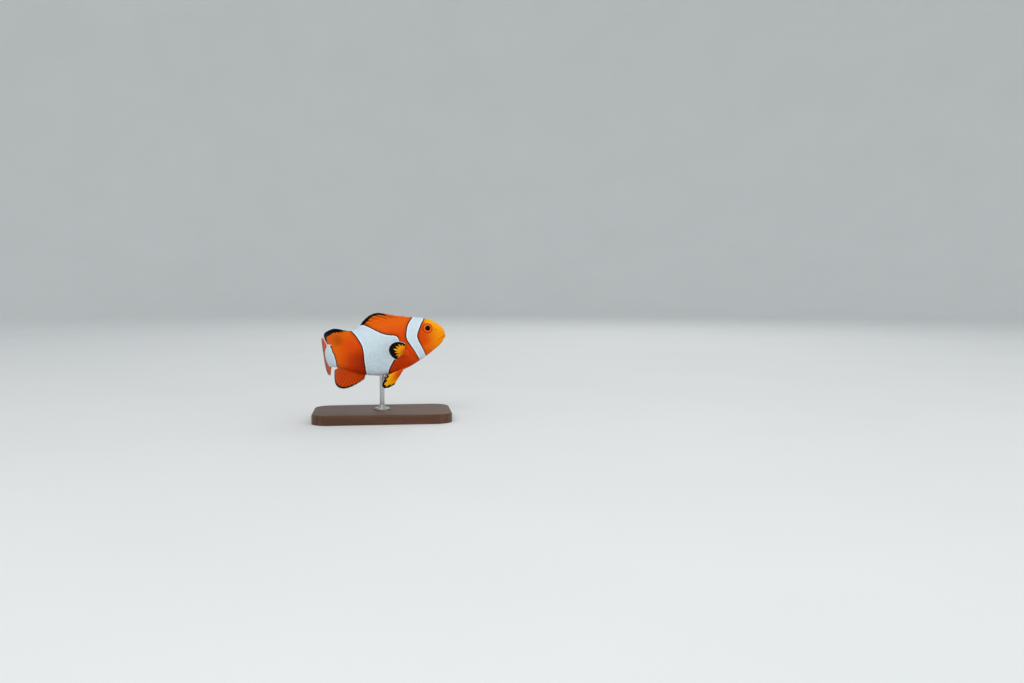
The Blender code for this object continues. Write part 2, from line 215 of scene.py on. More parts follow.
# The white bars' front and rear edges, from the back to the belly, (along, up).
bars = {
    "head": (
        ((0.118, 0.205), (0.142, 0.155), (0.171, 0.120), (0.184, 0.101), (0.198, 0.079), (0.209, 0.059),
         (0.217, 0.036), (0.217, 0.015), (0.211, -0.015), (0.204, -0.034), (0.192, -0.080), (0.180, -0.130),
         (0.172, -0.210)),
        ((0.203, 0.215), (0.222, 0.182), (0.241, 0.164), (0.262, 0.142), (0.274, 0.124), (0.285, 0.095),
         (0.295, 0.067), (0.298, 0.048), (0.296, 0.023), (0.288, 0.001), (0.280, -0.016), (0.262, -0.060),
         (0.247, -0.100), (0.235, -0.140), (0.228, -0.210)),
    ),
    "middle": (
        ((0.664, 0.300), (0.640, 0.225), (0.617, 0.203), (0.583, 0.184), (0.543, 0.155), (0.502, 0.124),
         (0.461, 0.098), (0.418, 0.082), (0.386, 0.074), (0.368, 0.060), (0.362, 0.040), (0.359, 0.010),
         (0.363, -0.030), (0.380, -0.065), (0.432, -0.115), (0.480, -0.180), (0.500, -0.280)),
        ((0.750, 0.300), (0.722, 0.205), (0.700, 0.165), (0.676, 0.135), (0.657, 0.092), (0.644, 0.052),
         (0.640, 0.014), (0.643, -0.035), (0.648, -0.076), (0.650, -0.120), (0.655, -0.190),
         (0.660, -0.280)),
    ),
    "tail": (
        ((0.955, 0.135), (0.935, 0.098), (0.904, 0.076), (0.884, 0.060), (0.875, 0.035), (0.863, 0.014),
         (0.858, -0.015), (0.860, -0.045), (0.870, -0.080), (0.882, -0.135)),
        ((1.000, 0.135), (0.984, 0.098), (0.969, 0.074), (0.984, 0.056), (0.999, 0.033), (1.006, 0.000),
         (1.000, -0.038), (0.986, -0.080), (0.976, -0.135)),
    ),
}
barOutlines = {name: np.vstack((smoothLine(front), smoothLine(rear)[::-1]))
               for name, (front, rear) in bars.items()}
# the black edge in millimetres, and what three places add to it
blackEdge = {"width": 0.52, "headBottom": -0.20, "middleTip": -0.40, "tailTop": 0.16}


def store(mesh, name, values):
    values = np.asarray(values, np.float32)
    flat = values.ndim == 1
    layer = mesh.attributes.new(name, "FLOAT" if flat else "FLOAT_VECTOR", "POINT")
    layer.data.foreach_set("value" if flat else "vector", values.ravel())


def readVectors(mesh, name):
    found = np.empty(len(mesh.vertices) * 3, np.float32)
    mesh.attributes[name].data.foreach_get("vector", found)
    return found.reshape(-1, 3).astype(float)


def cornersOf(mesh):
    corners = np.empty(len(mesh.loops), np.int32)
    mesh.loops.foreach_get("vertex_index", corners)
    return corners


def storeUnwrap(mesh, spots):
    layer = mesh.uv_layers.new(name="OFBake")
    layer.data.foreach_set("uv", spots.astype(np.float32).ravel())


def markBars(mesh, station, names=tuple(bars)):
    # bar is the distance into a white bar in millimetres, and edge is the width of its black edge;
    # the result is 1 on plain orange and 0 on the bars
    spots = station[:, :2]
    depth = np.full(len(spots), -50.0)
    for name in names:
        outline = barOutlines[name]
        away = distanceTo(spots, np.vstack((outline, outline[:1])))
        depth = np.maximum(depth, np.where(insideOf(spots, outline), away, -away))
    along, up = spots.T
    tip = smoothStep(0.41, 0.375, along) * smoothStep(0.33, 0.345, along)
    edge = blackEdge["width"] + blackEdge["middleTip"] * smoothStep(0.060, 0.035, up) * tip
    edge = edge + blackEdge["headBottom"] * smoothStep(0.01, -0.06, up) * smoothStep(0.34, 0.30, along)
    store(mesh, "edge", edge + blackEdge["tailTop"] * hump(along, 0.935, 0.03) * hump(up, 0.09, 0.03))
    store(mesh, "bar", depth)
    store(mesh, "dusk", hump(along, 0.825, 0.042) * hump(up, 0.118, 0.040))
    return smoothStep(-0.45, -1.0, depth)


def meshOf(name, points, faces=(), edges=()):
    mesh = bpy.data.meshes.new(name)
    mesh.from_pydata(points.tolist(), edges, faces)
    mesh.update()
    mesh.shade_smooth()
    return mesh


def gridFaces(rings, columns, closed=False):
    ring = np.arange(rings - 1)[:, None]
    column = np.arange(columns if closed else columns - 1)[None, :]
    after = (column + 1) % columns
    here, ahead = ring * columns, (ring + 1) * columns
    return np.stack((here + column, here + after, ahead + after, ahead + column), -1).reshape(-1, 4).tolist()


def poledFaces(rings, columns):
    # closed rings, with one pole more at the first ring and one at the last
    pole = rings * columns
    pairs = [(k, (k + 1) % columns) for k in range(columns)]
    faces = gridFaces(rings, columns, True) + [(b, a, pole) for a, b in pairs]
    return faces + [(pole - columns + a, pole - columns + b, pole + 1) for a, b in pairs]


def turned(faces):
    return [face[::-1] for face in faces]


def borderLoop(wide, deep):
    # once round a grid's border
    loop = [(k, 0) for k in range(wide - 1)] + [(wide - 1, k) for k in range(deep - 1)]
    return loop + [(k, deep - 1) for k in range(wide - 1, 0, -1)] + [(0, k) for k in range(deep - 1, 0, -1)]


def turnOutward(mesh):
    # turns a closed mesh right side out if its volume comes out negative
    shape = bmesh.new()
    shape.from_mesh(mesh)
    if shape.calc_volume(signed=True) < 0:
        mesh.flip_normals()
    shape.free()


def addObject(name, mesh):
    item = bpy.data.objects.new(name, mesh)
    scene.collection.objects.link(item)
    return item


def finishPiece(item, slot, *nodes):
    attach(item, "root")
    if nodes:
        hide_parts(*nodes)
    print(item.name, len(item.data.polygons), "faces")


def make(tree, kind, inputs=(), **settings):
    item = tree.nodes.new(kind)
    for key, value in settings.items():
        setattr(item, key, value)
    for key, value in inputs.items() if isinstance(inputs, dict) else enumerate(inputs):
        if isinstance(value, bpy.types.NodeSocket):
            tree.links.new(value, item.inputs[key])
        elif value is not None:
            item.inputs[key].default_value = value
    return item


def gain(tree, kind, inputs=(), **settings):
    return make(tree, kind, inputs, **settings).outputs[0]


def calc(tree, operation, *values):
    return gain(tree, "ShaderNodeMath", values, operation=operation)


def times(tree, value, factor):
    return calc(tree, "MULTIPLY", value, factor)


def scaled(tree, value, factor, more):
    return calc(tree, "MULTIPLY_ADD", value, factor, more)


def mixed(tree, factor, a, b, blend="MIX"):
    a, b = [(*c, 1.0) if isinstance(c, tuple) and len(c) == 3 else c for c in (a, b)]
    inputs = {0: factor, 6: a, 7: b}
    return make(tree, "ShaderNodeMix", inputs, data_type="RGBA", blend_type=blend).outputs[2]


def ranged(tree, value, low, high, toLow=0.0, toHigh=1.0):
    inputs = (value, low, high, toLow, toHigh)
    return gain(tree, "ShaderNodeMapRange", inputs, interpolation_type="SMOOTHSTEP")


def noise(tree, where, scale, detail=2.0):
    return gain(tree, "ShaderNodeTexNoise", {"Vector": where, "Scale": scale, "Detail": detail})


def attribute(tree, name, output="Fac"):
    return make(tree, "ShaderNodeAttribute", attribute_name=name).outputs[output]


def objectPlace(tree):
    return make(tree, "ShaderNodeTexCoord").outputs["Object"]


def stretched(tree, where, scale):
    return gain(tree, "ShaderNodeMapping", {"Vector": where, "Scale": scale})


def parted(tree, vector):
    return make(tree, "ShaderNodeSeparateXYZ", (vector,)).outputs


def lengthOf(tree, vector):
    return make(tree, "ShaderNodeVectorMath", (vector,), operation="LENGTH").outputs["Value"]


def newTree(kind, name, inputs, outputs):
    # inputs and outputs list the sockets' names under each kind of socket
    tree = bpy.data.node_groups.new(name, kind + "NodeTree")
    for way, kinds in (("INPUT", inputs), ("OUTPUT", outputs)):
        for sort, names in kinds.items():
            for socket in names:
                tree.interface.new_socket(socket, in_out=way, socket_type="NodeSocket" + sort)
    return tree, tree.nodes.new("NodeGroupInput").outputs, tree.nodes.new("NodeGroupOutput").inputs


def newMaterial(name, sockets):
    material = bpy.data.materials.new(name)
    material.use_nodes = True
    shader = material.node_tree.nodes["Principled BSDF"]
    for key, value in sockets.items():
        shader.inputs[key].default_value = value
    return material, material.node_tree, shader


def dress(tree, shader, colour, roughness, height, depth, strength=0.5):
    # depth is the bump's, in metres
    bump = gain(tree, "ShaderNodeBump", {"Height": height, "Distance": depth, "Strength": strength})
    for key, value in (("Base Color", colour), ("Roughness", roughness), ("Normal", bump)):
        tree.links.new(value, shader.inputs[key])


print("shape and helpers ready")

# linear colours
colours = {
    # top, flank and low: lighter on the back and darker towards the belly, partly the fish's own colour and
    # partly painted light and painted shade
    "top": (0.81, 0.125, 0.001),
    "flank": (0.74, 0.072, 0.001),
    "low": (0.62, 0.042, 0.001),
    "crown": (0.99, 0.405, 0.001),
    "snout": (0.97, 0.290, 0.001),
    "cheek": (0.71, 0.070, 0.001),
    "chin": (0.86, 0.125, 0.001),
    # painted shade: a darker red-brown on the lower flank just behind the middle bar
    "rearLowShade": (0.40, 0.024, 0.001),
    "rearGlow": (0.90, 0.150, 0.001),
    # partly painted shade: the orange of the tail's root and fin is deepened to dark red
    "tail": (0.44, 0.024, 0.001),
    "white": (0.66, 0.78, 0.84),
    "whiteShade": (0.45, 0.56, 0.66),
    "whiteRim": (0.84, 0.93, 0.96),
    "black": (0.0012, 0.0012, 0.0016),
    "darkRed": (0.34, 0.014, 0.002),
    "dusk": (0.36, 0.070, 0.001),
    "ray": (0.88, 0.22, 0.003),
    "finTip": (1.0, 0.42, 0.002),
    "finRoot": (0.76, 0.075, 0.001),
    "finStreak": (0.13, 0.014, 0.001),
    "finRim": (0.66, 0.76, 0.80),
    "irisDark": (0.86, 0.085, 0.001),
    "irisLight": (0.98, 0.160, 0.001),
    "irisPatch": (0.98, 0.21, 0.002),
    "irisOuter": (0.46, 0.030, 0.001),
    "irisInner": (0.92, 0.125, 0.001),
    "pupil": (0.001, 0.001, 0.001),
    "walnutDark": (0.060, 0.022, 0.009),
    "walnutLight": (0.170, 0.072, 0.030),
    "walnutLine": (0.050, 0.020, 0.010),
    "walnutPore": (0.025, 0.012, 0.008),
    "steelDark": (0.46, 0.46, 0.45),
    "steelLight": (0.66, 0.66, 0.65),
    "floorDark": (0.78, 0.79, 0.78),
    "floorLight": (0.83, 0.84, 0.83),
    "sky": (0.86, 0.90, 0.94),
}
moist = {"Specular IOR Level": 0.06, "Coat Roughness": 0.25}
# the orange's shades in the order they are laid on: a colour's name, then the ranges that fade it in
shades = (
    # partly painted light: the back is lighter
    ("top", ("up", 0.06, 0.19)),
    # painted shade on the lower flank behind the middle bar
    ("rearLowShade", ("along", 0.60, 0.64), ("along", 0.80, 0.66), ("up", 0.06, -0.05)),
    ("rearGlow", ("along", 0.73, 0.87), ("up", -0.15, -0.03), ("up", 0.14, 0.05)),
    ("cheek", ("along", 0.34, 0.24), ("up", 0.13, 0.08)),
    ("chin", ("along", 0.26, 0.16), ("up", -0.02, -0.06)),
    ("snout", ("along", 0.175, 0.045)),
    ("crown", ("crown", -0.010, 0.045)),
    # partly painted shade: the tail darkens to dark red
    ("tail", ("along", 1.0, 1.09)),
)


def layered(tree, colour, *layers):
    # each layer is a mask, its strength and a colour's name
    for mask, strength, name in layers:
        colour = mixed(tree, times(tree, mask, strength), colour, colours[name])
    return colour


def buildFishColours():
    # colour of the skin, the scales and the fins, from their place on the fish
    tree, given, result = newTree("Shader", "fishColours", {
        "Vector": ("Station",), "Float": ("Bar", "Edge", "Dusk", "Crease", "Tone"),
    }, {"Color": ("Color",)})
    where = objectPlace(tree)
    along, up = parted(tree, given["Station"])[:2]
    height = scaled(tree, noise(tree, where, 260.0, 3.0), 0.035, calc(tree, "SUBTRACT", up, 0.0175))
    spans = {"along": along, "up": height, "crown": scaled(tree, along, -0.8, height)}
    # darker towards the belly: partly the fish's own colour, partly painted shade
    colour = mixed(tree, ranged(tree, height, -0.16, 0.02), colours["low"], colours["flank"])
    for name, *fades in shades:
        share = 1.0
        for span, low, high in fades:
            share = times(tree, share, ranged(tree, spans[span], low, high))
        colour = mixed(tree, share, colour, colours[name])
    bar = calc(tree, "ADD", given["Bar"], scaled(tree, noise(tree, where, 900.0), 0.22, -0.11))
    edge = calc(tree, "ADD", bar, given["Edge"])
    # a reddish shade lies just outside the black edge
    colour = layered(tree, colour, (given["Dusk"], 0.75, "dusk"),
                     (ranged(tree, edge, -1.5, 0.0), 0.30, "darkRed"),
                     (ranged(tree, edge, -0.10, 0.10), 1.0, "black"))
    pale = mixed(tree, ranged(tree, bar, 0.9, 0.15), colours["white"], colours["whiteRim"])
    pale = layered(tree, pale, (noise(tree, where, 500.0), 0.10, "whiteShade"))
    colour = mixed(tree, ranged(tree, bar, -0.06, 0.08), colour, pale)
    tone = scaled(tree, noise(tree, where, 750.0, 4.0), 0.14, scaled(tree, given["Tone"], 0.08, 0.89))
    # painted shade: creases and the scales' hidden roots are darkened, over a tone that differs at random
    shade = times(tree, tone, ranged(tree, given["Crease"], 0.0, 1.0, 1.0, 0.16))
    grey = gain(tree, "ShaderNodeCombineColor", (shade, shade, shade))
    tree.links.new(mixed(tree, 1.0, colour, grey, "MULTIPLY"), result["Color"])
    return tree


fishColours = buildFishColours()


def fishColour(tree, crease=0.0, tone=0.5):
    given = {"Station": attribute(tree, "station", "Vector"), "Crease": crease, "Tone": tone}
    given.update({name: attribute(tree, name.lower()) for name in ("Bar", "Edge", "Dusk")})
    return gain(tree, "ShaderNodeGroup", given, node_tree=fishColours)


def buildSkinMaterial():
    material, tree, shader = newMaterial("moistSkin", {**moist, "Coat Weight": 0.015})
    where = objectPlace(tree)
    pores = gain(tree, "ShaderNodeTexVoronoi", {"Vector": where, "Scale": 3200.0})
    soft = noise(tree, where, 1500.0, 3.0)
    dress(tree, shader, fishColour(tree, crease=attribute(tree, "crease")), scaled(tree, soft, 0.16, 0.36),
          scaled(tree, pores, 0.5, soft), 0.00003, 0.6)
    return material


def buildScaleMaterial():
    material, tree, shader = newMaterial("scales", {**moist, "Coat Weight": 0.012, "Coat Roughness": 0.28})
    # rings of growth, and painted shade: a slightly darker colour towards the root hidden under the scale in
    # front
    leaf = attribute(tree, "leaf", "Vector")
    rings = calc(tree, "SINE", times(tree, lengthOf(tree, leaf), 90.0))
    root = ranged(tree, parted(tree, leaf)[0], 0.15, -0.30)
    soft = noise(tree, objectPlace(tree), 1800.0)
    colour = fishColour(tree, times(tree, root, 0.16), attribute(tree, "tone"))
    dress(tree, shader, colour, scaled(tree, soft, 0.18, 0.34), scaled(tree, rings, 0.5, soft), 0.00001)
    return material


skinMaterial = buildSkinMaterial()
scaleMaterial = buildScaleMaterial()

eye = {
    "centre": (0.1260, 0.078),
    "sink": 0.00090,             # metres from the skin in to the eyeball's centre
    "forward": 0.6,
    "scaleFree": 0.0495,
    # the skin round it, in millimetres: height over the centre, then (height, radius, width) or two radii
    "ring": 0.66,
    "ringLip": (0.12, 2.72, 0.22),
    "dipDepth": 1.3,
    "dip": (2.58, 2.05),
    "blend": (4.1, 2.75),
    # painted shade in the fold round the eyeball: how dark, then its radius and width
    "crease": (0.55, 2.45, 0.20),
}


def eyeFrame(hand):
    along, up = eye["centre"]
    step = 0.004

    def onSkin(a, u):
        return place(a, section(a, angleOf(a, u))[0] * hand, u)

    here = onSkin(along, up)
    out = unit(np.cross(onSkin(along + step, up) - here, onSkin(along, up + step) - here))
    out = unit(out * np.sign(out[1] * hand) + (0.0, hand * eye["forward"], 0.0))
    return here - out * eye["sink"], out


eyeFrames = {hand: eyeFrame(hand) for hand in (-1, 1)}

face = {
    "reliefEnd": 0.30,
    "mouth": ((-0.030, 0.0068), (0.000, -0.0035), (0.030, -0.0138), (0.060, -0.0245)),
    "nostril": (0.066, 0.056),
    "cheekGroove": ((0.066, -0.014), (0.082, 0.004), (0.104, 0.020), (0.134, 0.030), (0.158, 0.048)),
    "preopercle": ((0.206, 0.070), (0.207, 0.030), (0.204, -0.015), (0.194, -0.055), (0.170, -0.085),
                   (0.128, -0.100)),
    "jawFold": ((0.060, -0.026), (0.082, -0.046), (0.098, -0.066), (0.104, -0.090)),
    "vent": 0.650,
    "throatFolds": (0.66, 0.74, 0.82, 0.90),
    "coatDepth": 0.15,       # millimetres, as the heights below are
    "bareDepth": 0.03,
}
# height, then the distance it stands at and how far it fades, in millimetres
ridges = {
    "upperLip": (0.12, 0.58, 0.36),
    "lowerLip": (0.14, 0.58, 0.36),
    "mouthGroove": (-0.34, 0.0, 0.15),
    "lipFold": (-0.07, 1.35, 0.22),
    "nostrilRim": (0.16, 0.36, 0.13),
    "nostrilPit": (-0.34, 0.0, 0.22),
    "cheekGroove": (-0.09, 0.0, 0.20),
    "jawFold": (-0.12, 0.0, 0.22),
    "behindPreopercle": (-0.08, 0.05, 0.25),
    "ventRim": (0.22, 0.50, 0.30),
    "ventPit": (-0.10, 0.0, 0.20),
}
# the same for the head seen from the side, with places and widths as shares of the length
profileChanges = {"snout": (0.22, 0.012, 0.012), "brow": (-0.30, 0.060, 0.022), "chin": (0.30, 0.055, 0.040)}
# painted shade in the creases: how dark, then the distance it stands at and how far it fades, in millimetres
creaseShades = {
    "mouth": (0.65, 0.0, 0.18),
    "nostril": (0.8, 0.0, 0.20),
    "preopercle": (0.35, 0.1, 0.12),
    "vent": (0.6, 0.0, 0.22),
}
# the front border of the scales: up and along
scaleFront = ((-0.30, 0.30), (-0.17, 0.235), (-0.13, 0.168), (-0.09, 0.138), (-0.05, 0.122), (0.00, 0.106),
              (0.04, 0.098), (0.09, 0.094), (0.13, 0.094), (0.22, 0.094))


def shaped(x, *shapes):
    return sum(height * hump(x, centre, width) for height, centre, width in shapes)


def scaleCover(along, up):
    # how far inside the scaled part of the body, as a share of the length
    front = tableCurve(scaleFront, np.clip(up, scaleFront[0][0], scaleFront[-1][0]))
    eyeAway = np.hypot(along - eye["centre"][0], up - eye["centre"][1]) - eye["scaleFree"]
    return np.minimum(along - front, eyeAway)


def headRelief(head, high):
    a, u = head.T
    mouth = np.array(face["mouth"])
    away = distanceTo(head, mouth)
    above = u > np.interp(a, *mouth.T)
    rise = np.where(above, shaped(away, ridges["upperLip"]), shaped(away, ridges["lowerLip"]))
    rise += shaped(away, ridges["mouthGroove"], ridges["lipFold"])
    # a straight forehead over a blunt snout, and a full chin
    rise += smoothStep(0.35, 0.95, high) * shaped(a, profileChanges["snout"], profileChanges["brow"])
    rise += smoothStep(-0.30, -0.90, high) * shaped(a, profileChanges["chin"])
    # painted shade in the mouth's cleft, the nostril's pit and along the preopercle's edge
    dark = shaped(away, creaseShades["mouth"])
    away = np.hypot(*(head - face["nostril"]).T) * inMm
    rise += shaped(away, ridges["nostrilRim"], ridges["nostrilPit"])
    dark = np.maximum(dark, shaped(away, creaseShades["nostril"]))
    for name in ("cheekGroove", "jawFold"):
        rise += shaped(distanceTo(head, smoothLine(face[name])), ridges[name])
    # the preopercle's edge stands over the cheek behind it
    edge = smoothLine(face["preopercle"])
    away = distanceTo(head, edge)
    ahead = insideOf(head, np.vstack((edge, ((0.0, -0.12), (0.0, 0.08)))))
    fade = smoothStep(0.085, 0.055, u) * smoothStep(0.110, 0.140, a)
    rise += fade * np.where(ahead, 0.12 * np.exp(-away / 1.1), shaped(away, ridges["behindPreopercle"]))
    return rise, np.maximum(dark, fade * shaped(away, creaseShades["preopercle"]))


def bodyRelief(along, up, angle, station):
    # height over the plain body in millimetres, and how strongly painted shade darkens it in a crease
    height, crease = np.zeros((2, len(along)))
    high = np.sin(angle)
    near = along < face["reliefEnd"]
    height[near], crease[near] = headRelief(np.stack((along, up), -1)[near], high[near])
    # the gill cover's free edge, and the folds of skin under the throat, each with painted shade in its
    # crease
    edgeFade = smoothStep(0.60, 0.42, high) * (1 - 0.5 * smoothStep(-0.80, -1.0, high))
    lift = 0.20 * smoothStep(0.84, 0.985, station)
    drop = -0.20 * np.exp(-np.maximum(station - 1.0, 0) / 0.018)
    height += edgeFade * np.where(station <= 1.0, lift, drop)
    crease = np.maximum(crease, edgeFade * shaped(station, (0.35, 1.004, 0.006)))
    throat = smoothStep(-0.72, -0.90, high)
    for fold in face["throatFolds"]:
        height += throat * shaped(station, (0.07, fold, 0.020))
        crease = np.maximum(crease, throat * shaped(station, (0.25, fold + 0.035, 0.010)))
    # the vent in front of the anal fin, with painted shade in its pit
    away = np.hypot(along - face["vent"], (high + 1) * 0.25) * inMm
    height += shaped(away, ridges["ventRim"], ridges["ventPit"])
    crease = np.maximum(crease, shaped(away, creaseShades["vent"]))
    coated = smoothStep(-0.010, 0.008, scaleCover(along, up))
    return height - face["bareDepth"] - (face["coatDepth"] - face["bareDepth"]) * coated, crease


def alongAt(station, edge):
    return np.clip(station, 0, 1) * edge + np.clip(station - 1, 0, 1) * (fish["skinEnd"] - edge)


def bodyGrid(stations, shares):
    # stations run from the snout (0) over the gill edge (1) to the end (2); below 0 they close the snout
    station, share = np.meshgrid(stations, shares, indexing="ij")
    angle = angleAt(share)
    along = alongAt(station, gillEdge(angle))
    side, up = section(along, angle)
    shrink = np.clip(1 + station / 0.02, 0.04, 1)
    middle = (bodyTable[0, 1] + bodyTable[0, 2]) / 2
    side = side * shrink
    up = middle + (up - middle) * shrink
    base = place(along, side, up)
    outward = np.cross(np.gradient(base, axis=0), np.gradient(base, axis=1))
    outward /= np.linalg.norm(outward, axis=-1, keepdims=True) + 1e-20
    snoutWay = unit(place(-1.0, 0.0, 0.0) - place(0.0, 0.0, 0.0))
    outward = np.where((station < 0)[..., None], snoutWay, outward)
    flat = [grid.ravel() for grid in (along, up, angle, station)]
    height, crease = [grid.reshape(along.shape) for grid in bodyRelief(*flat)]
    points = base + outward * (height * mm)[..., None]
    for hand, (centre, out) in eyeFrames.items():
        # the skin forms an even ring round the eyeball and dips in behind it
        offset = points - centre
        depth = offset @ out
        across = offset - depth[..., None] * out
        radius = np.linalg.norm(across, axis=-1) / mm
        near = (depth > -mm) & (side * hand > 0)
        ring = eye["ring"] + shaped(radius, eye["ringLip"])
        ring -= eye["dipDepth"] * smoothStep(*eye["dip"], radius)
        weight = np.where(near, smoothStep(*eye["blend"], radius), 0.0)
        depth = depth * (1 - weight) + ring * mm * weight
        points = centre + across + depth[..., None] * out
        # painted shade in the fold round the eyeball
        crease = np.maximum(crease, np.where(near, shaped(radius, eye["crease"]), 0))
    return points, outward, np.stack((along, up, share), -1), crease


def halfGirth(along):
    # length of one flank round the body, from the belly to the back, in metres
    samples = np.linspace(0, fish["skinEnd"], 60)
    angles = np.linspace(-math.pi / 2, math.pi / 2, 80)
    side, up = section(samples[:, None], angles[None, :])
    girth = np.hypot(np.diff(side, axis=1), np.diff(up, axis=1)).sum(1)
    return np.interp(along, samples, girth) * size


unwrapped = {"metres": 0.0750, "start": 0.012, "before": 0.01, "leftMiddle": 0.745, "rightMiddle": 0.255}


def unwrap(along, share, left):
    # each flank has an island of its own, laid flat at its true size
    flank = np.where(left, share * 2, 2 - share * 2)
    u = unwrapped["start"] + (np.asarray(along) + unwrapped["before"]) * size / unwrapped["metres"]
    middle = np.where(left, unwrapped["leftMiddle"], unwrapped["rightMiddle"])
    return np.stack((u, middle + (flank - 0.5) * halfGirth(along) / unwrapped["metres"]), -1)


def evenly(*spans):
    return np.concatenate([np.linspace(a, b, n, endpoint=False) for a, b, n in spans] + [[spans[-1][1]]])


skinMesh = {
    "columns": 300,
    "tipRings": (-0.02, 0.0, 6),
    "snoutRings": 13,
    "snoutReach": 0.055,
    "snoutCrowding": 1.7,
    "rings": ((0.055, 0.56, 86), (0.56, 0.965, 44), (0.965, 1.035, 26), (1.035, 2.0, 108)),
}


def buildSkin():
    columns = skinMesh["columns"]
    count = skinMesh["snoutRings"]
    snout = skinMesh["snoutReach"] * (np.arange(count) / count) ** skinMesh["snoutCrowding"]
    stations = np.concatenate((evenly(skinMesh["tipRings"])[:-1], snout, evenly(*skinMesh["rings"])))
    # extra columns on each side, cut off again, give true slopes at the seam
    extra = 2
    grids = bodyGrid(stations, np.arange(-extra, columns + extra) / columns)
    points, _, station, crease = [grid[:, extra:-extra] for grid in grids]
    points, station = [np.vstack((grid.reshape(-1, 3), grid[0].mean(0), grid[-1].mean(0)))
                       for grid in (points, station)]
    rings = len(stations)
    mesh = meshOf("skin", points, turned(poledFaces(rings, columns)))
    store(mesh, "station", station)
    store(mesh, "crease", np.concatenate((crease.ravel(), (1.0, 0.0))))
    markBars(mesh, station)
    # the unwrap, corner by corner: the seam is at the belly, and each pole lies in the middle of a flank
    corners = cornersOf(mesh)
    share = np.append(np.tile(np.arange(columns) / columns, rings), (0.0, 0.0))[corners]
    faceOf = np.repeat(np.arange(len(mesh.polygons)), [polygon.loop_total for polygon in mesh.polygons])
    column = np.tile(np.arange(columns), rings + 1)[faceOf]
    share = np.where((column == columns - 1) & (share == 0), 1.0, share)
    left = column < columns // 2
    share = np.where(corners >= rings * columns, np.where(left, 0.25, 0.75), share)
    storeUnwrap(mesh, unwrap(station[corners, 0], share, left))
    mesh.materials.append(skinMaterial)
    return addObject("skin", mesh)


finishPiece(buildSkin(), "orange_skin", "head", "lower_jaw", "gill_cover_right", "gill_cover_left", "trunk",
            "rear_body", "tail_stem")

scaleCoat = {
    "bedRings": ((0.2, 0.56, 50), (0.56, 0.97, 40), (0.97, 1.03, 20), (1.03, 2.0, 110)),
    "bedColumns": 250,
    "bodyRows": 60,
    "bodyAround": 62,
    "bodyEnd": 1.045,
    "headRows": 27,
    "headAround": 98,
    "headSpan": (0.28, 0.935),
    "lastTip": 0.996,        # the last rows of the head end at the gill cover's edge
    "uneven": 0.03,
    "borderGap": 0.004,
    "overlap": 0.06,         # how far the bed runs on past the belly, as a share of the way round
    "rowsCovered": 2.05,
    "columnsCovered": 1.38,
    "fullWidth": 0.0011,     # metres; a narrower scale is thinner too, down to the least height
    "leastHeight": 0.45,
    "steps": (0.0, 0.40, 0.68, 0.86, 0.96, 1.0),
    "columns": 5,
    "rootHeight": -0.025,    # millimetres over the skin
    "tipHeight": 0.075,
    "thickness": 0.040,
    "crown": 0.018,
    "sharpAngle": math.radians(50),
    "patch": 0.003,
    "seed": 11,
}
lateralLine = {
    "path": ((0.335, 0.128), (0.420, 0.146), (0.520, 0.140), (0.620, 0.118), (0.710, 0.094),
             (0.790, 0.078)),
    "steps": (0.0, 0.12, 0.35, 0.7, 0.9, 1.0),
    "forward": 1.05,         # in steps from row to row, as the two below
    "lookAhead": 1.5,
    "length": 0.46,
    "width": 0.0024,
    "rootHeight": 0.02,      # millimetres over the skin, as the rise and the tube's own height
    "rise": 0.045,
    "height": 0.045,
    "toneSeed": 3,
}


def bedSpot(station, share):
    o = scaleCoat["overlap"]
    return np.stack((station / 2, (share + o) / (1 + 2 * o), np.zeros_like(station)), -1)


def buildBed():
    # a copy of the skin's surface, laid out flat, that the scales are planned on
    stations = evenly(*scaleCoat["bedRings"])
    shares = np.linspace(-scaleCoat["overlap"], 1 + scaleCoat["overlap"], scaleCoat["bedColumns"])
    points, outward, station, _ = [grid.reshape(-1, grid.shape[-1]) for grid in bodyGrid(stations, shares)]
    mesh = meshOf("bed", points, turned(gridFaces(len(stations), len(shares))))
    store(mesh, "layout", bedSpot(*[grid.ravel() for grid in np.meshgrid(stations, shares, indexing="ij")]))
    store(mesh, "outward", outward)
    store(mesh, "station", station)
    return addObject("bed", mesh)


def buildPlate(name, steps, outline, rise):
    # a thin closed plate: x from root (0) to tip (1), y across
    rows, columns = len(steps), scaleCoat["columns"]
    x, y = np.meshgrid(steps, np.linspace(-0.5, 0.5, columns), indexing="ij")
    bend = 1 - 0.06 * (2 * y) ** 2 * smoothStep(0.6, 1.0, x)
    top = np.stack((x * bend, y * outline(x), rise(x, y) * mm), -1).reshape(-1, 3)
    border = [row * columns + column for column, row in borderLoop(columns, rows)]
    points = np.vstack((top, top[border] - (0, 0, scaleCoat["thickness"] * mm)))
    under = list(range(len(top), len(points)))
    faces = turned(gridFaces(rows, columns))
    faces += zip(border, border[1:] + border[:1], under[1:] + under[:1], under)
    mesh = meshOf(name, points, faces + [under])
    turnOutward(mesh)
    store(mesh, "leaf", points * (1, 1, 0) - (0.5, 0, 0))
    mesh.set_sharp_from_angle(angle=scaleCoat["sharpAngle"])
    return addObject(name, mesh)


def shapeOf(tree, given):
    return make(tree, "GeometryNodeObjectInfo", {"Object": given}).outputs["Geometry"]


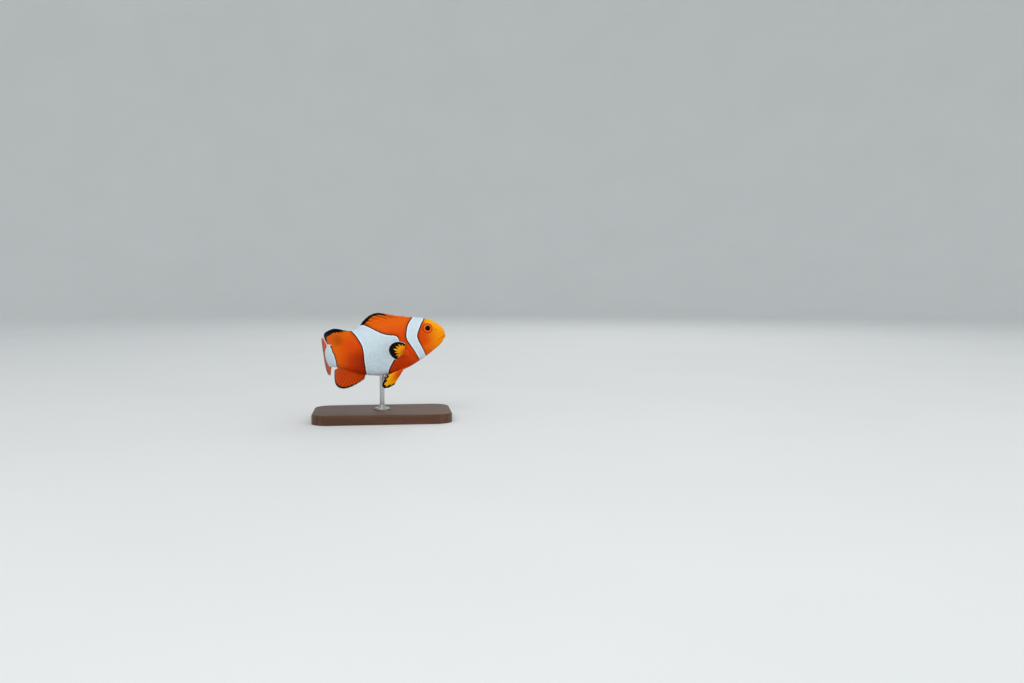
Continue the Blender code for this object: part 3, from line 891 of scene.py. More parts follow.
def buildScaleTree():
    # plants a plate on every point of a flat plan, then lays the plan on the body
    tree, given, result = newTree("Geometry", "layOnBody", {
        "Geometry": ("Plan",), "Object": ("Plate", "Bed"), "Int": ("Seed",), "Material": ("Finish",),
    }, {"Geometry": ("Scales",)})

    def named(name):
        return gain(tree, "GeometryNodeInputNamedAttribute", (name,), data_type="FLOAT_VECTOR")

    def stored(geometry, name, value, **kinds):
        inputs = {"Geometry": geometry, "Name": name, "Value": value}
        return gain(tree, "GeometryNodeStoreNamedAttribute", inputs, **kinds)

    planted = gain(tree, "GeometryNodeInstanceOnPoints", {
        "Points": given["Plan"], "Instance": shapeOf(tree, given["Plate"]), "Scale": named("size"),
    })
    chance = make(tree, "FunctionNodeRandomValue", {"Seed": given["Seed"]}, data_type="FLOAT").outputs[1]
    toned = stored(planted, "tone", chance, data_type="FLOAT", domain="INSTANCE")
    whole = gain(tree, "GeometryNodeRealizeInstances", {"Geometry": toned})
    spot = tree.nodes.new("GeometryNodeInputPosition").outputs[0]
    bed = shapeOf(tree, given["Bed"])

    def onBed(value):
        inputs = {"Mesh": bed, "Value": value, "UV Map": named("layout"), "Sample UV": spot}
        return gain(tree, "GeometryNodeSampleUVSurface", inputs, data_type="FLOAT_VECTOR")

    stationed = stored(whole, "station", onBed(named("station")), data_type="FLOAT_VECTOR", domain="POINT")
    lift = {0: onBed(named("outward")), "Scale": parted(tree, spot)[2]}
    lifted = gain(tree, "ShaderNodeVectorMath", lift, operation="SCALE")
    onSkin = gain(tree, "ShaderNodeVectorMath", (onBed(spot), lifted), operation="ADD")
    laid = gain(tree, "GeometryNodeSetPosition", {"Geometry": stationed, "Position": onSkin})
    done = gain(tree, "GeometryNodeSetMaterial", {"Geometry": laid, "Material": given["Finish"]})
    tree.links.new(done, result[0])
    return tree


def applyTree(item, tree, **inputs):
    # runs a geometry tree once and keeps its result as a plain mesh
    modifier = item.modifiers.new(tree.name, "NODES")
    modifier.node_group = tree
    for socket in tree.interface.items_tree:
        if socket.in_out == "INPUT" and socket.name in inputs:
            modifier[socket.identifier] = inputs[socket.name]
    item.update_tag()
    bpy.context.view_layer.update()
    evaluated = item.evaluated_get(bpy.context.evaluated_depsgraph_get())
    mesh = bpy.data.meshes.new_from_object(evaluated)
    item.modifiers.remove(modifier)
    old = item.data
    item.data = mesh
    bpy.data.meshes.remove(old)
    mesh.name = item.name
    return mesh


def bodyRowStations():
    # rows stand closer where the body is slimmer
    along = np.linspace(fish["gillEdge"], scaleCoat["bodyEnd"], 400)
    pace = 1 / (halfGirth(along) + 0.004)
    count = np.concatenate(([0.0], np.cumsum((pace[1:] + pace[:-1]) / 2)))
    rows = np.interp(np.linspace(0, count[-1], scaleCoat["bodyRows"]), count, along)
    return 1 + (rows - fish["gillEdge"]) / (fish["skinEnd"] - fish["gillEdge"])


def lateralTurn(station):
    # where a row meets the lateral line: its place along, and the angle there
    path = lateralLine["path"]
    angle = 0.5
    for _ in range(4):
        along = alongAt(station, gillEdge(angle))
        angle = angleOf(along, tableCurve(path, np.clip(along, path[0][0], path[-1][0])))
    return along, angle


def planScales():
    # for every piece, its scales' places on the bed, their sizes, and their roots' places on the unwrap
    rng = np.random.default_rng(scaleCoat["seed"])
    plans = {}

    def add(name, station, share, length, width, high):
        for side, chosen in (("left", share % 1.0 < 0.5), ("right", share % 1.0 >= 0.5)):
            rows, turns = station[chosen], share[chosen]
            root = unwrap(alongAt(rows, gillEdge(angleAt(turns))), turns % 1.0, side == "left")
            scales = np.column_stack((length[chosen], np.full(len(rows), width), high[chosen]))
            plan = (bedSpot(rows, turns), scales, np.column_stack((root, 0 * rows)))
            plans.setdefault(name + side, []).append(plan)

    uneven = scaleCoat["uneven"]
    headRows = np.linspace(*scaleCoat["headSpan"], scaleCoat["headRows"])
    for name, rows, around in (("head_scales_", headRows, scaleCoat["headAround"]),
                               ("body_scales_", bodyRowStations(), scaleCoat["bodyAround"])):
        for k, (row, step) in enumerate(zip(rows, np.gradient(rows))):
            share = (np.arange(around) + 0.5 * (k % 2) + rng.normal(0, uneven, around)) / around
            station = row + rng.normal(0, uneven, around) * step
            angle = angleAt(share)
            along = alongAt(station + step, gillEdge(angle))
            length = np.full(around, step / 2 * scaleCoat["rowsCovered"])
            if name == "head_scales_":
                length = np.minimum(length, (scaleCoat["lastTip"] - station) / 2)
            else:
                # each row bears one tube of the lateral line on either side
                spot, turn = lateralTurn(row + lateralLine["lookAhead"] * step)
                if lateralLine["path"][0][0] < spot < lateralLine["path"][-1][0]:
                    both = shareAt(np.array((turn, math.pi - turn)))
                    add("lateral_line_", np.full(2, row + lateralLine["forward"] * step), both,
                        np.full(2, lateralLine["length"] * step), lateralLine["width"], np.ones(2))
            keep = scaleCover(along, section(along, angle)[1]) > scaleCoat["borderGap"]
            width = scaleCoat["columnsCovered"] / around / (1 + 2 * scaleCoat["overlap"])
            high = halfGirth(along) * 2 / around / scaleCoat["fullWidth"]
            add(name, station[keep], share[keep], length[keep], width,
                np.clip(high, scaleCoat["leastHeight"], 1.0)[keep])
    return plans


def scaleOutline(x):
    return np.where(x < 0.5, 0.80 + 0.40 * x, np.sqrt(np.clip(1 - ((x - 0.5) / 0.515) ** 2, 0.0, 1)))


def scaleRise(x, y):
    low, high = scaleCoat["rootHeight"], scaleCoat["tipHeight"]
    return low + (high - low) * x ** 1.3 - scaleCoat["crown"] * (2 * y) ** 2


def tubeOutline(x):
    return np.sqrt(np.clip(1 - (2 * x - 1) ** 4, 0.04, 1))


def tubeRise(x, y):
    plain = lateralLine["rootHeight"] + lateralLine["rise"] * x
    return plain + lateralLine["height"] * np.sqrt(np.clip(1 - 3.9 * y ** 2, 0, 1))


def buildScales():
    bed = buildBed()
    scale = buildPlate("plate", scaleCoat["steps"], scaleOutline, scaleRise)
    tube = buildPlate("tube", lateralLine["steps"], tubeOutline, tubeRise)
    tree = buildScaleTree()
    for seed, (name, parts) in enumerate(planScales().items(), lateralLine["toneSeed"]):
        spots, sizes, roots = [np.vstack(values) for values in zip(*parts)]
        plan = meshOf(name, spots)
        store(plan, "size", sizes)
        store(plan, "rootSpot", roots)
        item = addObject(name, plan)
        plate = tube if name.startswith("lateral") else scale
        mesh = applyTree(item, tree, Plate=plate, Bed=bed, Seed=seed, Finish=scaleMaterial)
        markBars(mesh, readVectors(mesh, "station"))
        # each scale is one small patch of the unwrap, at its root's place
        patches = readVectors(mesh, "rootSpot") + readVectors(mesh, "leaf") * scaleCoat["patch"]
        for layer in list(mesh.uv_layers):
            mesh.uv_layers.remove(layer)
        storeUnwrap(mesh, patches[cornersOf(mesh), :2])
        finishPiece(item, "orange_skin")
    for item in (bed, scale, tube):
        bpy.data.objects.remove(item)


buildScales()
print("scales laid")


def buildFinColours():
    # the black band, its white rim and the rays, over the fish's own colours
    tree, given, result = newTree("Shader", "finColours", {
        "Color": ("Base",), "Float": ("Margin", "Band", "Ray", "Reach", "Rim", "Warm", "Streak"),
    }, {"Color": ("Color",), "Float": ("Black",)})
    fine = noise(tree, objectPlace(tree), 1400.0, 3.0)
    reach, warm = given["Reach"], given["Warm"]
    root = times(tree, ranged(tree, reach, 0.42, 0.05), warm)
    black = ranged(tree, calc(tree, "ADD", given["Band"], scaled(tree, fine, 0.20, -0.10)), -0.07, 0.07)
    margin = calc(tree, "ADD", given["Margin"], scaled(tree, fine, 0.10, -0.05))
    rim = ranged(tree, calc(tree, "SUBTRACT", margin, given["Rim"]), 0.06, -0.06)
    colour = layered(tree, given["Base"], (given["Ray"], 0.35, "ray"),
                     (ranged(tree, reach, 0.30, 0.80), warm, "finTip"), (root, 0.9, "finRoot"),
                     (given["Streak"], 0.85, "finStreak"), (black, 1.0, "black"), (rim, 1.0, "finRim"))
    tree.links.new(colour, result["Color"])
    tree.links.new(black, result["Black"])
    return tree


finColours = buildFinColours()
# the white rim's width in millimetres, and how far the warm root and tips show
finFinishes = {"backFin": (0.34, 0.0), "tailFin": (0.50, 0.0), "sideFin": (0.20, 1.0)}


def buildFinMaterial(name, rim, warm):
    material, tree, shader = newMaterial(name, moist)
    given = {key: attribute(tree, key.lower()) for key in ("Margin", "Band", "Ray", "Reach", "Streak")}
    given.update(Base=fishColour(tree), Rim=rim, Warm=warm)
    fin = make(tree, "ShaderNodeGroup", given, node_tree=finColours).outputs
    tree.links.new(scaled(tree, fin["Black"], -0.02, 0.02), shader.inputs["Coat Weight"])
    soft = noise(tree, objectPlace(tree), 1600.0, 3.0)
    dress(tree, shader, fin["Color"], scaled(tree, soft, 0.16, 0.38), soft, 0.00003)
    return material


# A fin's shares run from its front ray to its rear one, or from the lower ray to the upper one.
# Rays are (first share, last share, count), and bands are (share, width in millimetres).
fins = {
    "dorsal": {
        "parts": (
            {"shares": (0.0, 0.555), "root": (0.270, 0.652), "rake": 1.6,
             "margin": ((0.292, 0.204), (0.36, 0.224), (0.43, 0.252), (0.487, 0.268), (0.54, 0.261),
                        (0.585, 0.238), (0.628, 0.206), (0.664, 0.178))},
            {"shares": (0.575, 1.0), "root": (0.672, 0.880), "rake": 1.0,
             "margin": ((0.690, 0.174), (0.752, 0.189), (0.803, 0.208), (0.852, 0.216), (0.908, 0.208),
                        (0.966, 0.196), (1.014, 0.174), (1.004, 0.138), (0.966, 0.097))},
        ),
        "above": True, "sway": 0.0004, "columns": 6, "rows": 34, "scallop": 0.016, "bars": ("middle",),
        "spines": (0.004, 0.545, 11), "soft": (0.585, 1.0, 16),
        "band": ((0.0, 0.0), (0.18, 0.0), (0.23, 0.80), (0.34, 1.25), (0.46, 1.55), (0.482, 1.2),
                 (0.50, 0.0), (0.61, 0.0), (0.63, 0.50), (0.66, 1.0), (0.70, 1.8), (0.74, 2.5),
                 (0.80, 2.9), (0.86, 3.3), (0.90, 3.2), (0.93, 2.5), (0.96, 1.6), (1.0, 1.0)),
        "teeth": 0.55, "toothedFrom": 0.57, "streaks": 4.6, "bare": 0.50,
    },
    "anal": {
        "parts": (
            {"shares": (0.0, 1.0), "root": (0.664, 0.868), "rake": 1.0,
             "margin": ((0.684, -0.222), (0.745, -0.246), (0.805, -0.262), (0.862, -0.266), (0.920, -0.252),
                        (0.965, -0.222), (0.978, -0.185), (0.962, -0.146), (0.935, -0.110))},
        ),
        "above": False, "sway": 0.0004, "columns": 6, "rows": 26, "scallop": 0.014, "bars": ("middle",),
        "spines": (0.0, 0.07, 2), "soft": (0.13, 1.0, 12),
        "band": ((0.0, 0.4), (0.2, 1.1), (0.5, 1.6), (0.72, 1.9), (0.85, 1.0), (1.0, 0.45)),
        "teeth": 0.45,
    },
    "caudal": {
        "start": 0.9855, "rootHalf": 0.084, "centre": 1.050, "length": 0.215, "halfHeight": 0.156,
        "fan": math.radians(98.0), "sway": 0.0007, "base": 0.0022, "skirt": 0.13,
        "columns": 6, "rows": 34, "scallop": 0.012, "bars": ("tail",),
        "spines": (0.0, 0.0, 1), "soft": (0.06, 0.94, 15), "closing": (1.0, 1.0, 1),
        "band": ((0.0, 0.55), (0.12, 0.9), (0.3, 1.5), (0.5, 1.7), (0.7, 1.5), (0.88, 0.9), (1.0, 0.55)),
        "teeth": 0.35,
    },
    "pectoral": {
        "upperRoot": (0.312, -0.050), "lowerRoot": (0.324, -0.104),
        "middle": (0.605, 0.738, 0.350),     # towards the tail, away from the body, up
        "spread": (-0.206, 0.093, 0.930), "centre": 0.0925, "length": 0.1255, "halfHeight": 0.0715,
        "fan": math.radians(99.0), "tilt": math.radians(16.4), "cup": 0.020, "bow": 0.85,
        "knee": (0.060, 0.008), "columns": 10, "rows": 34, "scallop": 0.010, "bars": (),
        "spines": (0.0, 0.0, 1), "soft": (0.05, 0.95, 10), "closing": (1.0, 1.0, 1),
        "band": ((0.0, 2.3), (0.15, 3.3), (0.33, 4.2), (0.5, 3.9), (0.62, 3.1), (0.75, 2.4), (0.85, 2.1),
                 (1.0, 1.6)),
        "teeth": 1.4, "spikes": 7, "sunk": 0.13,
    },
    "pelvic": {
        "upperRoot": (0.345, -0.184), "lowerRoot": (0.368, -0.196),
        "middle": (0.860, 0.190, -0.470), "spread": (0.450, 0.240, 0.860), "centre": 0.122,
        "length": 0.110, "halfHeight": 0.050, "fan": math.radians(76.0), "cup": 0.010,
        "columns": 18, "rows": 36, "scallop": 0.04, "bars": (),
        "spines": (0.0, 0.0, 1), "soft": (0.18, 1.0, 5),
        "band": ((0.0, 0.9), (0.3, 1.7), (0.6, 2.0), (0.85, 1.5), (1.0, 1.0)),
        "teeth": 0.85, "sunk": 0.10,
    },
}
# what holds for a fin with no value of its own
everyFin = {
    "base": 0.0013,          # the fleshy root's thickness in metres, and how soon it thins out
    "skirt": 0.09,
    "sheet": 0.00014,        # the membrane's thickness at the root and the margin, in metres
    "edge": 0.00008,
    "closing": (1.0, 1.0, 0), "marginSteps": 161, "sharpAngle": math.radians(60),
    "sunk": 0.05, "tilt": 0.0, "bow": 0.0, "knee": (0.0, 0.0), "bare": 0.0, "toothedFrom": 0.0,
}
fins = {name: {**everyFin, **fin} for name, fin in fins.items()}
rootSunk = 0.004             # how deep a fin of the middle plane starts under the back or the belly
pairedRootSunk = 0.0002      # metres
# start, end, number of points, thickness at the start and how much thinner at the margin, in metres
rays = {
    "spine": (-0.04, 0.985, 34, 0.00017, 0.00010),
    "stem": (-0.04, 0.42, 16, 0.00015, 0.00008),
    "fork": (0.40, 0.72, 12, 0.000085, 0.00004),
    "twig": (0.70, 0.99, 12, 0.000062, 0.00006),
}
raySides = 6


# Every fin has a function that takes shares, outs (0 at the root, 1 at the margin) and offsets from its
# middle sheet, and gives points in the world, places in the fin's own plane and places on the fish.
def flatSpot(root, margin, wave, out, offset):
    along, up = [start + (end - start) * out for start, end in zip(root, margin)]
    flat = np.stack((along, up), -1)
    return place(along, (wave * np.clip(out, 0, 1) ** 2 + offset) / size, up), flat, flat


def midlineSpot(fin):
    rows = []
    for part in fin["parts"]:
        across = np.linspace(0, 1, len(part["margin"]))
        (first, last), (start, end) = part["shares"], part["root"]
        roots = start + (end - start) * across ** part["rake"]
        rows.append(np.column_stack((first + (last - first) * across, roots, part["margin"])))
    rows = np.vstack(rows)

    def spotAt(share, out, offset):
        root, *margin = np.moveaxis(tableCurve(rows, share), -1, 0)
        back, belly, _ = bodySizes(root)
        rootUp = back - rootSunk if fin["above"] else belly + rootSunk
        return flatSpot((root, rootUp), margin, fin["sway"] * np.sin(share * 9.0 + 0.6), out, offset)

    return spotAt


def fanMargin(fin, across):
    angle = fin["fan"] * across + fin["tilt"]
    return fin["centre"] + fin["length"] * np.cos(angle), fin["halfHeight"] * np.sin(angle)


def tailSpot(share, out, offset):
    fin = fins["caudal"]
    across = 2 * share - 1
    root = (fin["start"], fin["rootHalf"] * across)
    return flatSpot(root, fanMargin(fin, across), fin["sway"] * np.sin(across * 3.0 + 1.0), out, offset)


def inWorld(direction, hand):
    # a direction (towards the tail, away from the body, up) at the fish's straight front part
    back, side, up = direction
    return np.array((-back * upCos - up * upSin, hand * side, -back * upSin + up * upCos))


def pairedSpot(fin, hand):
    middle = unit(inWorld(fin["middle"], hand))
    spread = inWorld(fin["spread"], hand)
    spread = unit(spread - middle * (spread @ middle))
    normal = unit(np.cross(middle, spread) * hand)

    def rootPoint(across):
        blend = (across + 1) / 2
        ends = zip(fin["lowerRoot"], fin["upperRoot"])
        along, up = [low * (1 - blend) + high * blend for low, high in ends]
        side = section(along, angleOf(along, up))[0] - pairedRootSunk / size
        return place(along, hand * side, up)

    base = rootPoint(np.zeros(1))[0]
    # the rays start out side by side and spread from a knee
    knee = base + (middle * fin["knee"][0] + spread * fin["knee"][1]) * size

    def spotAt(share, out, offset):
        across = 2 * share - 1
        reach, height = fanMargin(fin, across)
        root = rootPoint(across)
        margin = base + (middle * reach[..., None] + spread * height[..., None]) * size
        bulge = fin["cup"] * (1 - across ** 2) * np.sin(math.pi * np.clip(out, 0, 1)) * size
        bend = 2 * out * (1 - out) * fin["bow"] * (out > 0)
        point = root + (margin - root) * out[..., None] + (knee - (root + margin) / 2) * bend[..., None]
        point = point + normal * (bulge + offset)[..., None]
        flat = np.stack(((point - base) @ middle, (point - base) @ spread), -1) / size
        # it takes the plain flank's colour
        return point, flat, np.full_like(flat, (0.40, -0.04))

    return spotAt


def rayCentres(fin, kinds=("spines", "soft", "closing")):
    return np.concatenate([np.linspace(*fin[kind]) for kind in kinds])


def betweenRays(fin, share):
    # 0 on a ray, 0.5 half way to the next one
    centres = rayCentres(fin)
    i = np.clip(np.searchsorted(centres, share) - 1, 0, len(centres) - 2)
    gap = centres[i + 1] - centres[i]
    return np.clip(np.minimum(share - centres[i], centres[i + 1] - share) / gap, 0, 0.5)


def finLayers(mesh, fin, spotAt, share, out, spots, onRay):
    flat, station = spots
    ends = np.linspace(0, 1, fin["marginSteps"])
    margin = distanceTo(flat, spotAt(ends, np.ones_like(ends), np.zeros_like(ends))[1])
    phase = betweenRays(fin, share)
    # the black band has a tooth at every ray or, with spikes, at even steps
    band = np.maximum(tableCurve(fin["band"], share), 0)
    tip = 0.5 - np.abs(share * fin["spikes"] % 1.0 - 0.5) if "spikes" in fin else phase
    toothed = smoothStep(0.3, fin["teeth"] * 2.3, band) * (share > fin["toothedFrom"])
    band = band - fin["teeth"] * (1 - 2 * tip) * toothed
    plain = markBars(mesh, station, fin["bars"])
    streak = np.zeros_like(share)
    if "streaks" in fin:
        # dark streaks run in between the spines
        streak = smoothStep(0.16, 0.40, phase) * smoothStep(fin["streaks"], 0.8, margin) * plain
        streak = streak * smoothStep(0.14, 0.22, share) * smoothStep(0.56, 0.53, share)
    layers = {
        "station": np.column_stack((station, share)),
        "margin": margin + fin["bare"] * smoothStep(0.50, 0.40, share),
        "band": np.where(band > 0.05, band - margin, -5.0),
        "ray": plain * (1.0 if onRay else hump(phase, 0, 0.16)),
        "streak": streak,
        "reach": out,
    }
    for name, values in layers.items():
        store(mesh, name, values)


def finSheet(name, fin, spotAt):
    centres = rayCentres(fin)
    shares = evenly(*[(a, b, fin["columns"]) for a, b in zip(centres, centres[1:])])
    share, out = np.meshgrid(shares, np.linspace(-fin["sunk"], 1.0, fin["rows"]), indexing="ij")
    notch = 1 - fin["scallop"] * (2 * betweenRays(fin, share)) ** 2
    reach = np.where(out > 0, out * notch, out)
    skirt = fin["base"] * np.exp(-np.maximum(reach, 0) / fin["skirt"]) * np.sqrt(1 - (2 * share - 1) ** 4)
    thick = skirt + fin["sheet"] + (fin["edge"] - fin["sheet"]) * np.clip(reach, 0, 1)
    columns, rows = share.shape
    count = columns * rows
    faces = gridFaces(columns, rows)
    faces += [[k + count for k in face[::-1]] for face in faces]
    border = [column * rows + row for column, row in borderLoop(columns, rows)]
    faces += [(b, a, a + count, b + count) for a, b in zip(border, border[1:] + border[:1])]
    share, reach = np.tile(share.ravel(), 2), np.tile(reach.ravel(), 2)
    points, *spots = spotAt(share, reach, np.concatenate((thick.ravel(), -thick.ravel())) / 2)
    mesh = meshOf(name, points, faces)
    turnOutward(mesh)
    finLayers(mesh, fin, spotAt, share, reach, spots, False)
    mesh.set_sharp_from_angle(angle=fin["sharpAngle"])
    return addObject(name, mesh)


def rayLines(fin):
    # shares, outs and radii along each line: a spine is one line, a soft ray forks twice
    lines = []
    soft = rayCentres(fin, ("soft",))
    gap = soft[1] - soft[0]
    edge = rayCentres(fin).max()

    def addLine(kind, centre, fork=0, twig=0):
        start, end, count, thick, taper = rays[kind]
        out = np.linspace(start, end, count)
        spread = fork * 0.20 * smoothStep(0.36, 1.0, out) + twig * 0.085 * smoothStep(0.66, 1.0, out)
        share = np.clip(centre + gap * spread, 0.0, edge)
        lines.append((share, out, thick - taper * np.maximum(out - max(start, 0.0), 0)))

    for centre in rayCentres(fin, ("spines", "closing")):
        addLine("spine", centre)
    for centre in soft:
        addLine("stem", centre)
        for fork in (-1, 1):
            addLine("fork", centre, fork)
            for twig in (-1, 1):
                addLine("twig", centre, fork, twig)
    return lines


def rayGuides(name, fin, spotAt):
    share, out, radius = [np.concatenate(values) for values in zip(*rayLines(fin))]
    # a step back towards the root is the start of another line
    edges = [(k, k + 1) for k in np.flatnonzero(np.diff(out) > 0).tolist()]
    points, *spots = spotAt(share, out, np.zeros_like(share))
    mesh = meshOf(name, points, edges=edges)
    store(mesh, "thick", radius)
    finLayers(mesh, fin, spotAt, share, out, spots, True)
    return addObject(name, mesh)


def buildRayTree():
    # a tube along every guide, joined to the fin's sheet
    tree, given, result = newTree("Geometry", "rayTubes", {
        "Geometry": ("Sheet",), "Object": ("Rays",), "Int": ("Sides",), "Material": ("Finish",),
    }, {"Geometry": ("Fin",)})
    lines = gain(tree, "GeometryNodeMeshToCurve", {"Mesh": shapeOf(tree, given["Rays"])})
    ring = gain(tree, "GeometryNodeCurvePrimitiveCircle", {"Resolution": given["Sides"], "Radius": 1.0})
    thick = gain(tree, "GeometryNodeInputNamedAttribute", ("thick",), data_type="FLOAT")
    tubes = gain(tree, "GeometryNodeCurveToMesh", {
        "Curve": lines, "Profile Curve": ring, "Scale": thick, "Fill Caps": True,
    })
    joined = make(tree, "GeometryNodeJoinGeometry")
    for part in (given["Sheet"], tubes):
        tree.links.new(part, joined.inputs[0])
    whole = gain(tree, "GeometryNodeRealizeInstances", {"Geometry": joined.outputs[0]})
    done = gain(tree, "GeometryNodeSetMaterial", {"Geometry": whole, "Material": given["Finish"]})
    tree.links.new(done, result[0])
    return tree


def buildFins():
    tree = buildRayTree()
    back, tail, pair = [buildFinMaterial(name, *finish) for name, finish in finFinishes.items()]

    def buildFin(name, kind, spotAt, material, *nodes):
        item = finSheet(name, fins[kind], spotAt)
        guides = rayGuides(name + "_guides", fins[kind], spotAt)
        applyTree(item, tree, Rays=guides, Sides=raySides, Finish=material)
        bpy.data.objects.remove(guides)
        finishPiece(item, "fin_orange", *nodes)

    dorsal, anal = midlineSpot(fins["dorsal"]), midlineSpot(fins["anal"])
    buildFin("dorsal_fin", "dorsal", dorsal, back, "dorsal_fin_front", "dorsal_fin_rear")
    buildFin("anal_fin_rayed", "anal", anal, back, "anal_fin")
    buildFin("caudal_fin", "caudal", tailSpot, tail, "tail_fin")
    for kind in ("pectoral", "pelvic"):
        for side, hand in (("right", -1), ("left", 1)):
            buildFin(f"{kind}_fan_{side}", kind, pairedSpot(fins[kind], hand), pair, f"{kind}_fin_{side}")


buildFins()
print("fins built")

# in millimetres from the eyeball's centre, outward; pairs are radius and height
eyeball = {
    "lens": 1.36,
    "lensDome": (1.24, 0.26, 1.36 / math.sqrt(0.92)),     # base, rise and the radius where it would end
    "pupilEdge": ((1.40, 1.22), (1.45, 1.26), (1.52, 1.265)),
    "iris": (1.62, 2.55),
    "irisDome": (0.18, 1.285, 2.78),
    "behind": ((2.62, 0.45), (2.45, -0.10), (1.9, -0.60), (1.1, -0.90), (0.5, -1.0)),
    "tips": ((0, 0, 1.50), (0, 0, -1.0)),
    "rings": 12,
    "around": 72,
}


def buildEyeMaterial():
    material, tree, shader = newMaterial("wetEye", {"Specular IOR Level": 0.07, "Coat Roughness": 0.05})
    disc = attribute(tree, "disc", "Vector")
    x, y = parted(tree, disc)[:2]
    radius = lengthOf(tree, gain(tree, "ShaderNodeCombineXYZ", (x, y)))
    angle = calc(tree, "ARCTAN2", y, x)
    around = (calc(tree, "COSINE", angle), calc(tree, "SINE", angle), times(tree, radius, 0.10))
    streaks = noise(tree, gain(tree, "ShaderNodeCombineXYZ", around), 14.0, 4.0)
    colour = mixed(tree, ranged(tree, streaks, 0.35, 0.68), colours["irisDark"], colours["irisLight"])
    colour = layered(tree, colour, (ranged(tree, noise(tree, disc, 1.1), 0.35, 0.7), 0.5, "irisPatch"),
                     (ranged(tree, radius, 2.00, 2.30), 1.0, "irisOuter"),
                     (ranged(tree, radius, 1.60, 1.44), 1.0, "irisInner"),
                     (ranged(tree, radius, 1.42, 1.36), 1.0, "pupil"))
    tree.links.new(ranged(tree, radius, 1.36, 1.46, 0.13, 0.06), shader.inputs["Coat Weight"])
    dress(tree, shader, colour, ranged(tree, radius, 1.36, 1.42, 0.10, 0.40), streaks, 0.00003)
    return material


def spun(profile, around):
    # rings of points round the z axis, one for each radius and height
    turns = np.arange(around) * 2 * math.pi / around
    radius, height = np.asarray(profile).T[..., None]
    return np.stack((radius * np.cos(turns), radius * np.sin(turns), height + 0 * turns), -1).reshape(-1, 3)


def buildEyes():
    # a lens that bulges through the pupil, the iris round it, and the ball behind the rim
    material = buildEyeMaterial()

    def dome(radius, base, rise, end):
        return np.column_stack((radius, base + rise * np.sqrt(1 - (radius / end) ** 2)))

    lens = np.linspace(0, eyeball["lens"], eyeball["rings"])[1:]
    iris = np.linspace(*eyeball["iris"], eyeball["rings"])
    profile = np.vstack((dome(lens, *eyeball["lensDome"]), eyeball["pupilEdge"],
                         dome(iris, *eyeball["irisDome"]), eyeball["behind"]))
    local = np.vstack((spun(profile, eyeball["around"]), eyeball["tips"]))
    faces = poledFaces(len(profile), eyeball["around"])
    for side, hand in (("right", -1), ("left", 1)):
        centre, out = eyeFrames[hand]
        way = np.array(Vector(out).to_track_quat("Z", "Y").to_matrix())
        mesh = meshOf("eyeball_" + side, centre + (local * mm) @ way.T, faces)
        turnOutward(mesh)
        store(mesh, "disc", local)
        mesh.materials.append(material)
        finishPiece(addObject("eyeball_" + side, mesh), "eye_glass", "eye_" + side)


buildEyes()
print("eyes set")


def buildWood():
    material, tree, shader = newMaterial("walnutWood", {
        "Specular IOR Level": 0.30, "Coat Weight": 0.08, "Coat Roughness": 0.3,
    })
    where = objectPlace(tree)
    grain = stretched(tree, where, (0.12, 1.0, 0.9))
    figure = noise(tree, grain, 170.0, 4.0)
    wave = {"Vector": grain, "Scale": 150.0, "Distortion": 6.0, "Detail": 3.0, "Detail Scale": 1.5}
    lines = make(tree, "ShaderNodeTexWave", wave, bands_direction="Y").outputs["Fac"]
    pores = ranged(tree, noise(tree, stretched(tree, where, (0.05, 1.0, 1.0)), 2600.0), 0.56, 0.70)
    colour = layered(tree, mixed(tree, figure, colours["walnutDark"], colours["walnutLight"]),
                     (lines, 0.45, "walnutLine"), (pores, 0.5, "walnutPore"))
    dress(tree, shader, colour, scaled(tree, figure, 0.20, 0.34), times(tree, pores, -1.0), 0.00005, 0.6)
    return material


def buildSteel():
    material, tree, shader = newMaterial("brushedSteel", {"Metallic": 1.0})
    where = objectPlace(tree)
    lines = noise(tree, stretched(tree, where, (0.06, 0.06, 1.0)), 5200.0, 3.0)
    smudge = noise(tree, where, 260.0)
    colour = mixed(tree, lines, colours["steelDark"], colours["steelLight"])
    dress(tree, shader, colour, scaled(tree, smudge, 0.18, 0.20), lines, 0.00001)
    return material


for nodeName, material in (("stand_base", buildWood()), ("stand_rod", buildSteel())):
    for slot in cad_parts[nodeName].material_slots:
        slot.material = material
print("stand finished")

studio = {
    "floorRings": ((0.3, 0.0), (0.8, 0.0)),
    "floorRadius": 1.5,      # beyond it the floor turns up into a round wall
    "bend": 0.6,
    "bendSteps": 14,
    "wallHeight": 1.3,
    "around": 96,
    "aim": (0.0, 0.0, 0.035),
    # place, width and watts
    "lights": {
        "key": ((-0.25, -0.75, 0.70), 0.55, 3.7),
        "fill": ((0.75, -0.50, 0.35), 0.60, 1.5),
        "back": ((0.35, 0.80, 0.70), 0.60, 1.6),
    },
    "worldLight": 0.66,
}


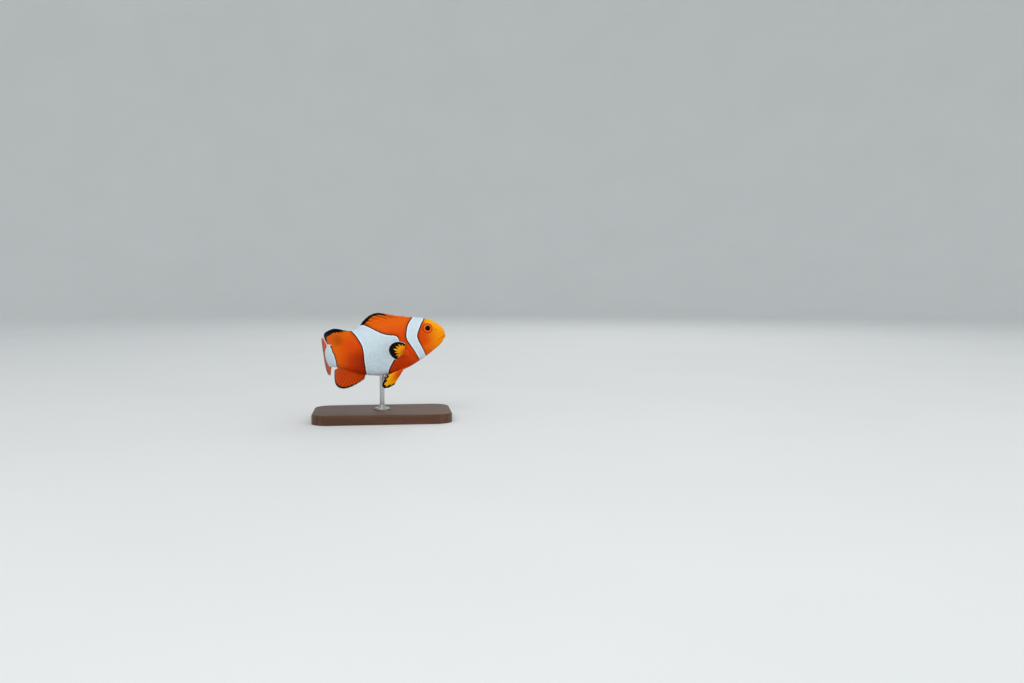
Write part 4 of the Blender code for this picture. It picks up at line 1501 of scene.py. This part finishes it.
def buildStage():
    turns = np.linspace(0, math.pi / 2, studio["bendSteps"])
    bend = studio["bend"] * np.column_stack((np.sin(turns), 1 - np.cos(turns)))
    bend[:, 0] += studio["floorRadius"]
    profile = np.vstack((studio["floorRings"], bend, (bend[-1, 0], studio["wallHeight"])))
    around = studio["around"]
    faces = gridFaces(len(profile), around, True) + [list(range(around))[::-1]]
    mesh = meshOf("floor", spun(profile, around), turned(faces))
    material, tree, shader = newMaterial("paleFloor", {"Roughness": 0.7})
    tint = mixed(tree, noise(tree, objectPlace(tree), 9.0), colours["floorDark"], colours["floorLight"])
    tree.links.new(tint, shader.inputs["Base Color"])
    mesh.materials.append(material)
    addObject("floor", mesh)


def buildLights():
    for name, (spot, width, watts) in studio["lights"].items():
        light = bpy.data.lights.new(name, "AREA")
        light.shape = "DISK"
        light.size = width
        light.energy = watts
        item = addObject(name, light)
        item.location = spot
        item.rotation_euler = (Vector(studio["aim"]) - Vector(spot)).to_track_quat("-Z", "Y").to_euler()
    world = bpy.data.worlds.new("studio")
    world.use_nodes = True
    sky = world.node_tree.nodes["Background"].inputs
    sky["Color"].default_value = (*colours["sky"], 1.0)
    sky["Strength"].default_value = studio["worldLight"]
    scene.world = world
    scene.view_settings.view_transform = "Standard"


view = {
    "lens": 35.0,
    "sensor": 36.0,
    "clipStart": 0.01,
    "distance": 0.5286,
    "elevation": math.radians(4.0),
    "aimHeight": 0.038,
    "left": 0.1272,          # how far the aim lies left of and below the middle, as shares of the width
    "below": 0.0056,
}


def buildCamera():
    camera = addObject("camera", bpy.data.cameras.new("camera"))
    camera.data.lens = view["lens"]
    camera.data.sensor_width = view["sensor"]
    camera.data.clip_start = view["clipStart"]
    back = Vector((0.0, -math.cos(view["elevation"]), math.sin(view["elevation"])))
    ratio = view["sensor"] / view["lens"]
    ray = Vector((-view["left"] * ratio, -view["below"] * ratio, -1.0)).normalized()
    # the pitch and the yaw, with no roll, that turn this ray to the aim
    reach = math.hypot(ray.y, ray.z)
    pitch = math.asin(-back.z / reach) - math.atan2(ray.y, -ray.z)
    level = -ray.z * math.cos(pitch) - ray.y * math.sin(pitch)
    yaw = math.atan2(-back.y, -back.x) - math.atan2(level, ray.x)
    camera.matrix_world = (
        Matrix.Translation(Vector((0.0, 0.0, view["aimHeight"])) + back * view["distance"])
        @ Matrix.Rotation(yaw, 4, "Z") @ Matrix.Rotation(math.pi / 2 + pitch, 4, "X"))
    scene.camera = camera


buildStage()
buildLights()
buildCamera()
print("studio ready")

bpy.context.view_layer.update()
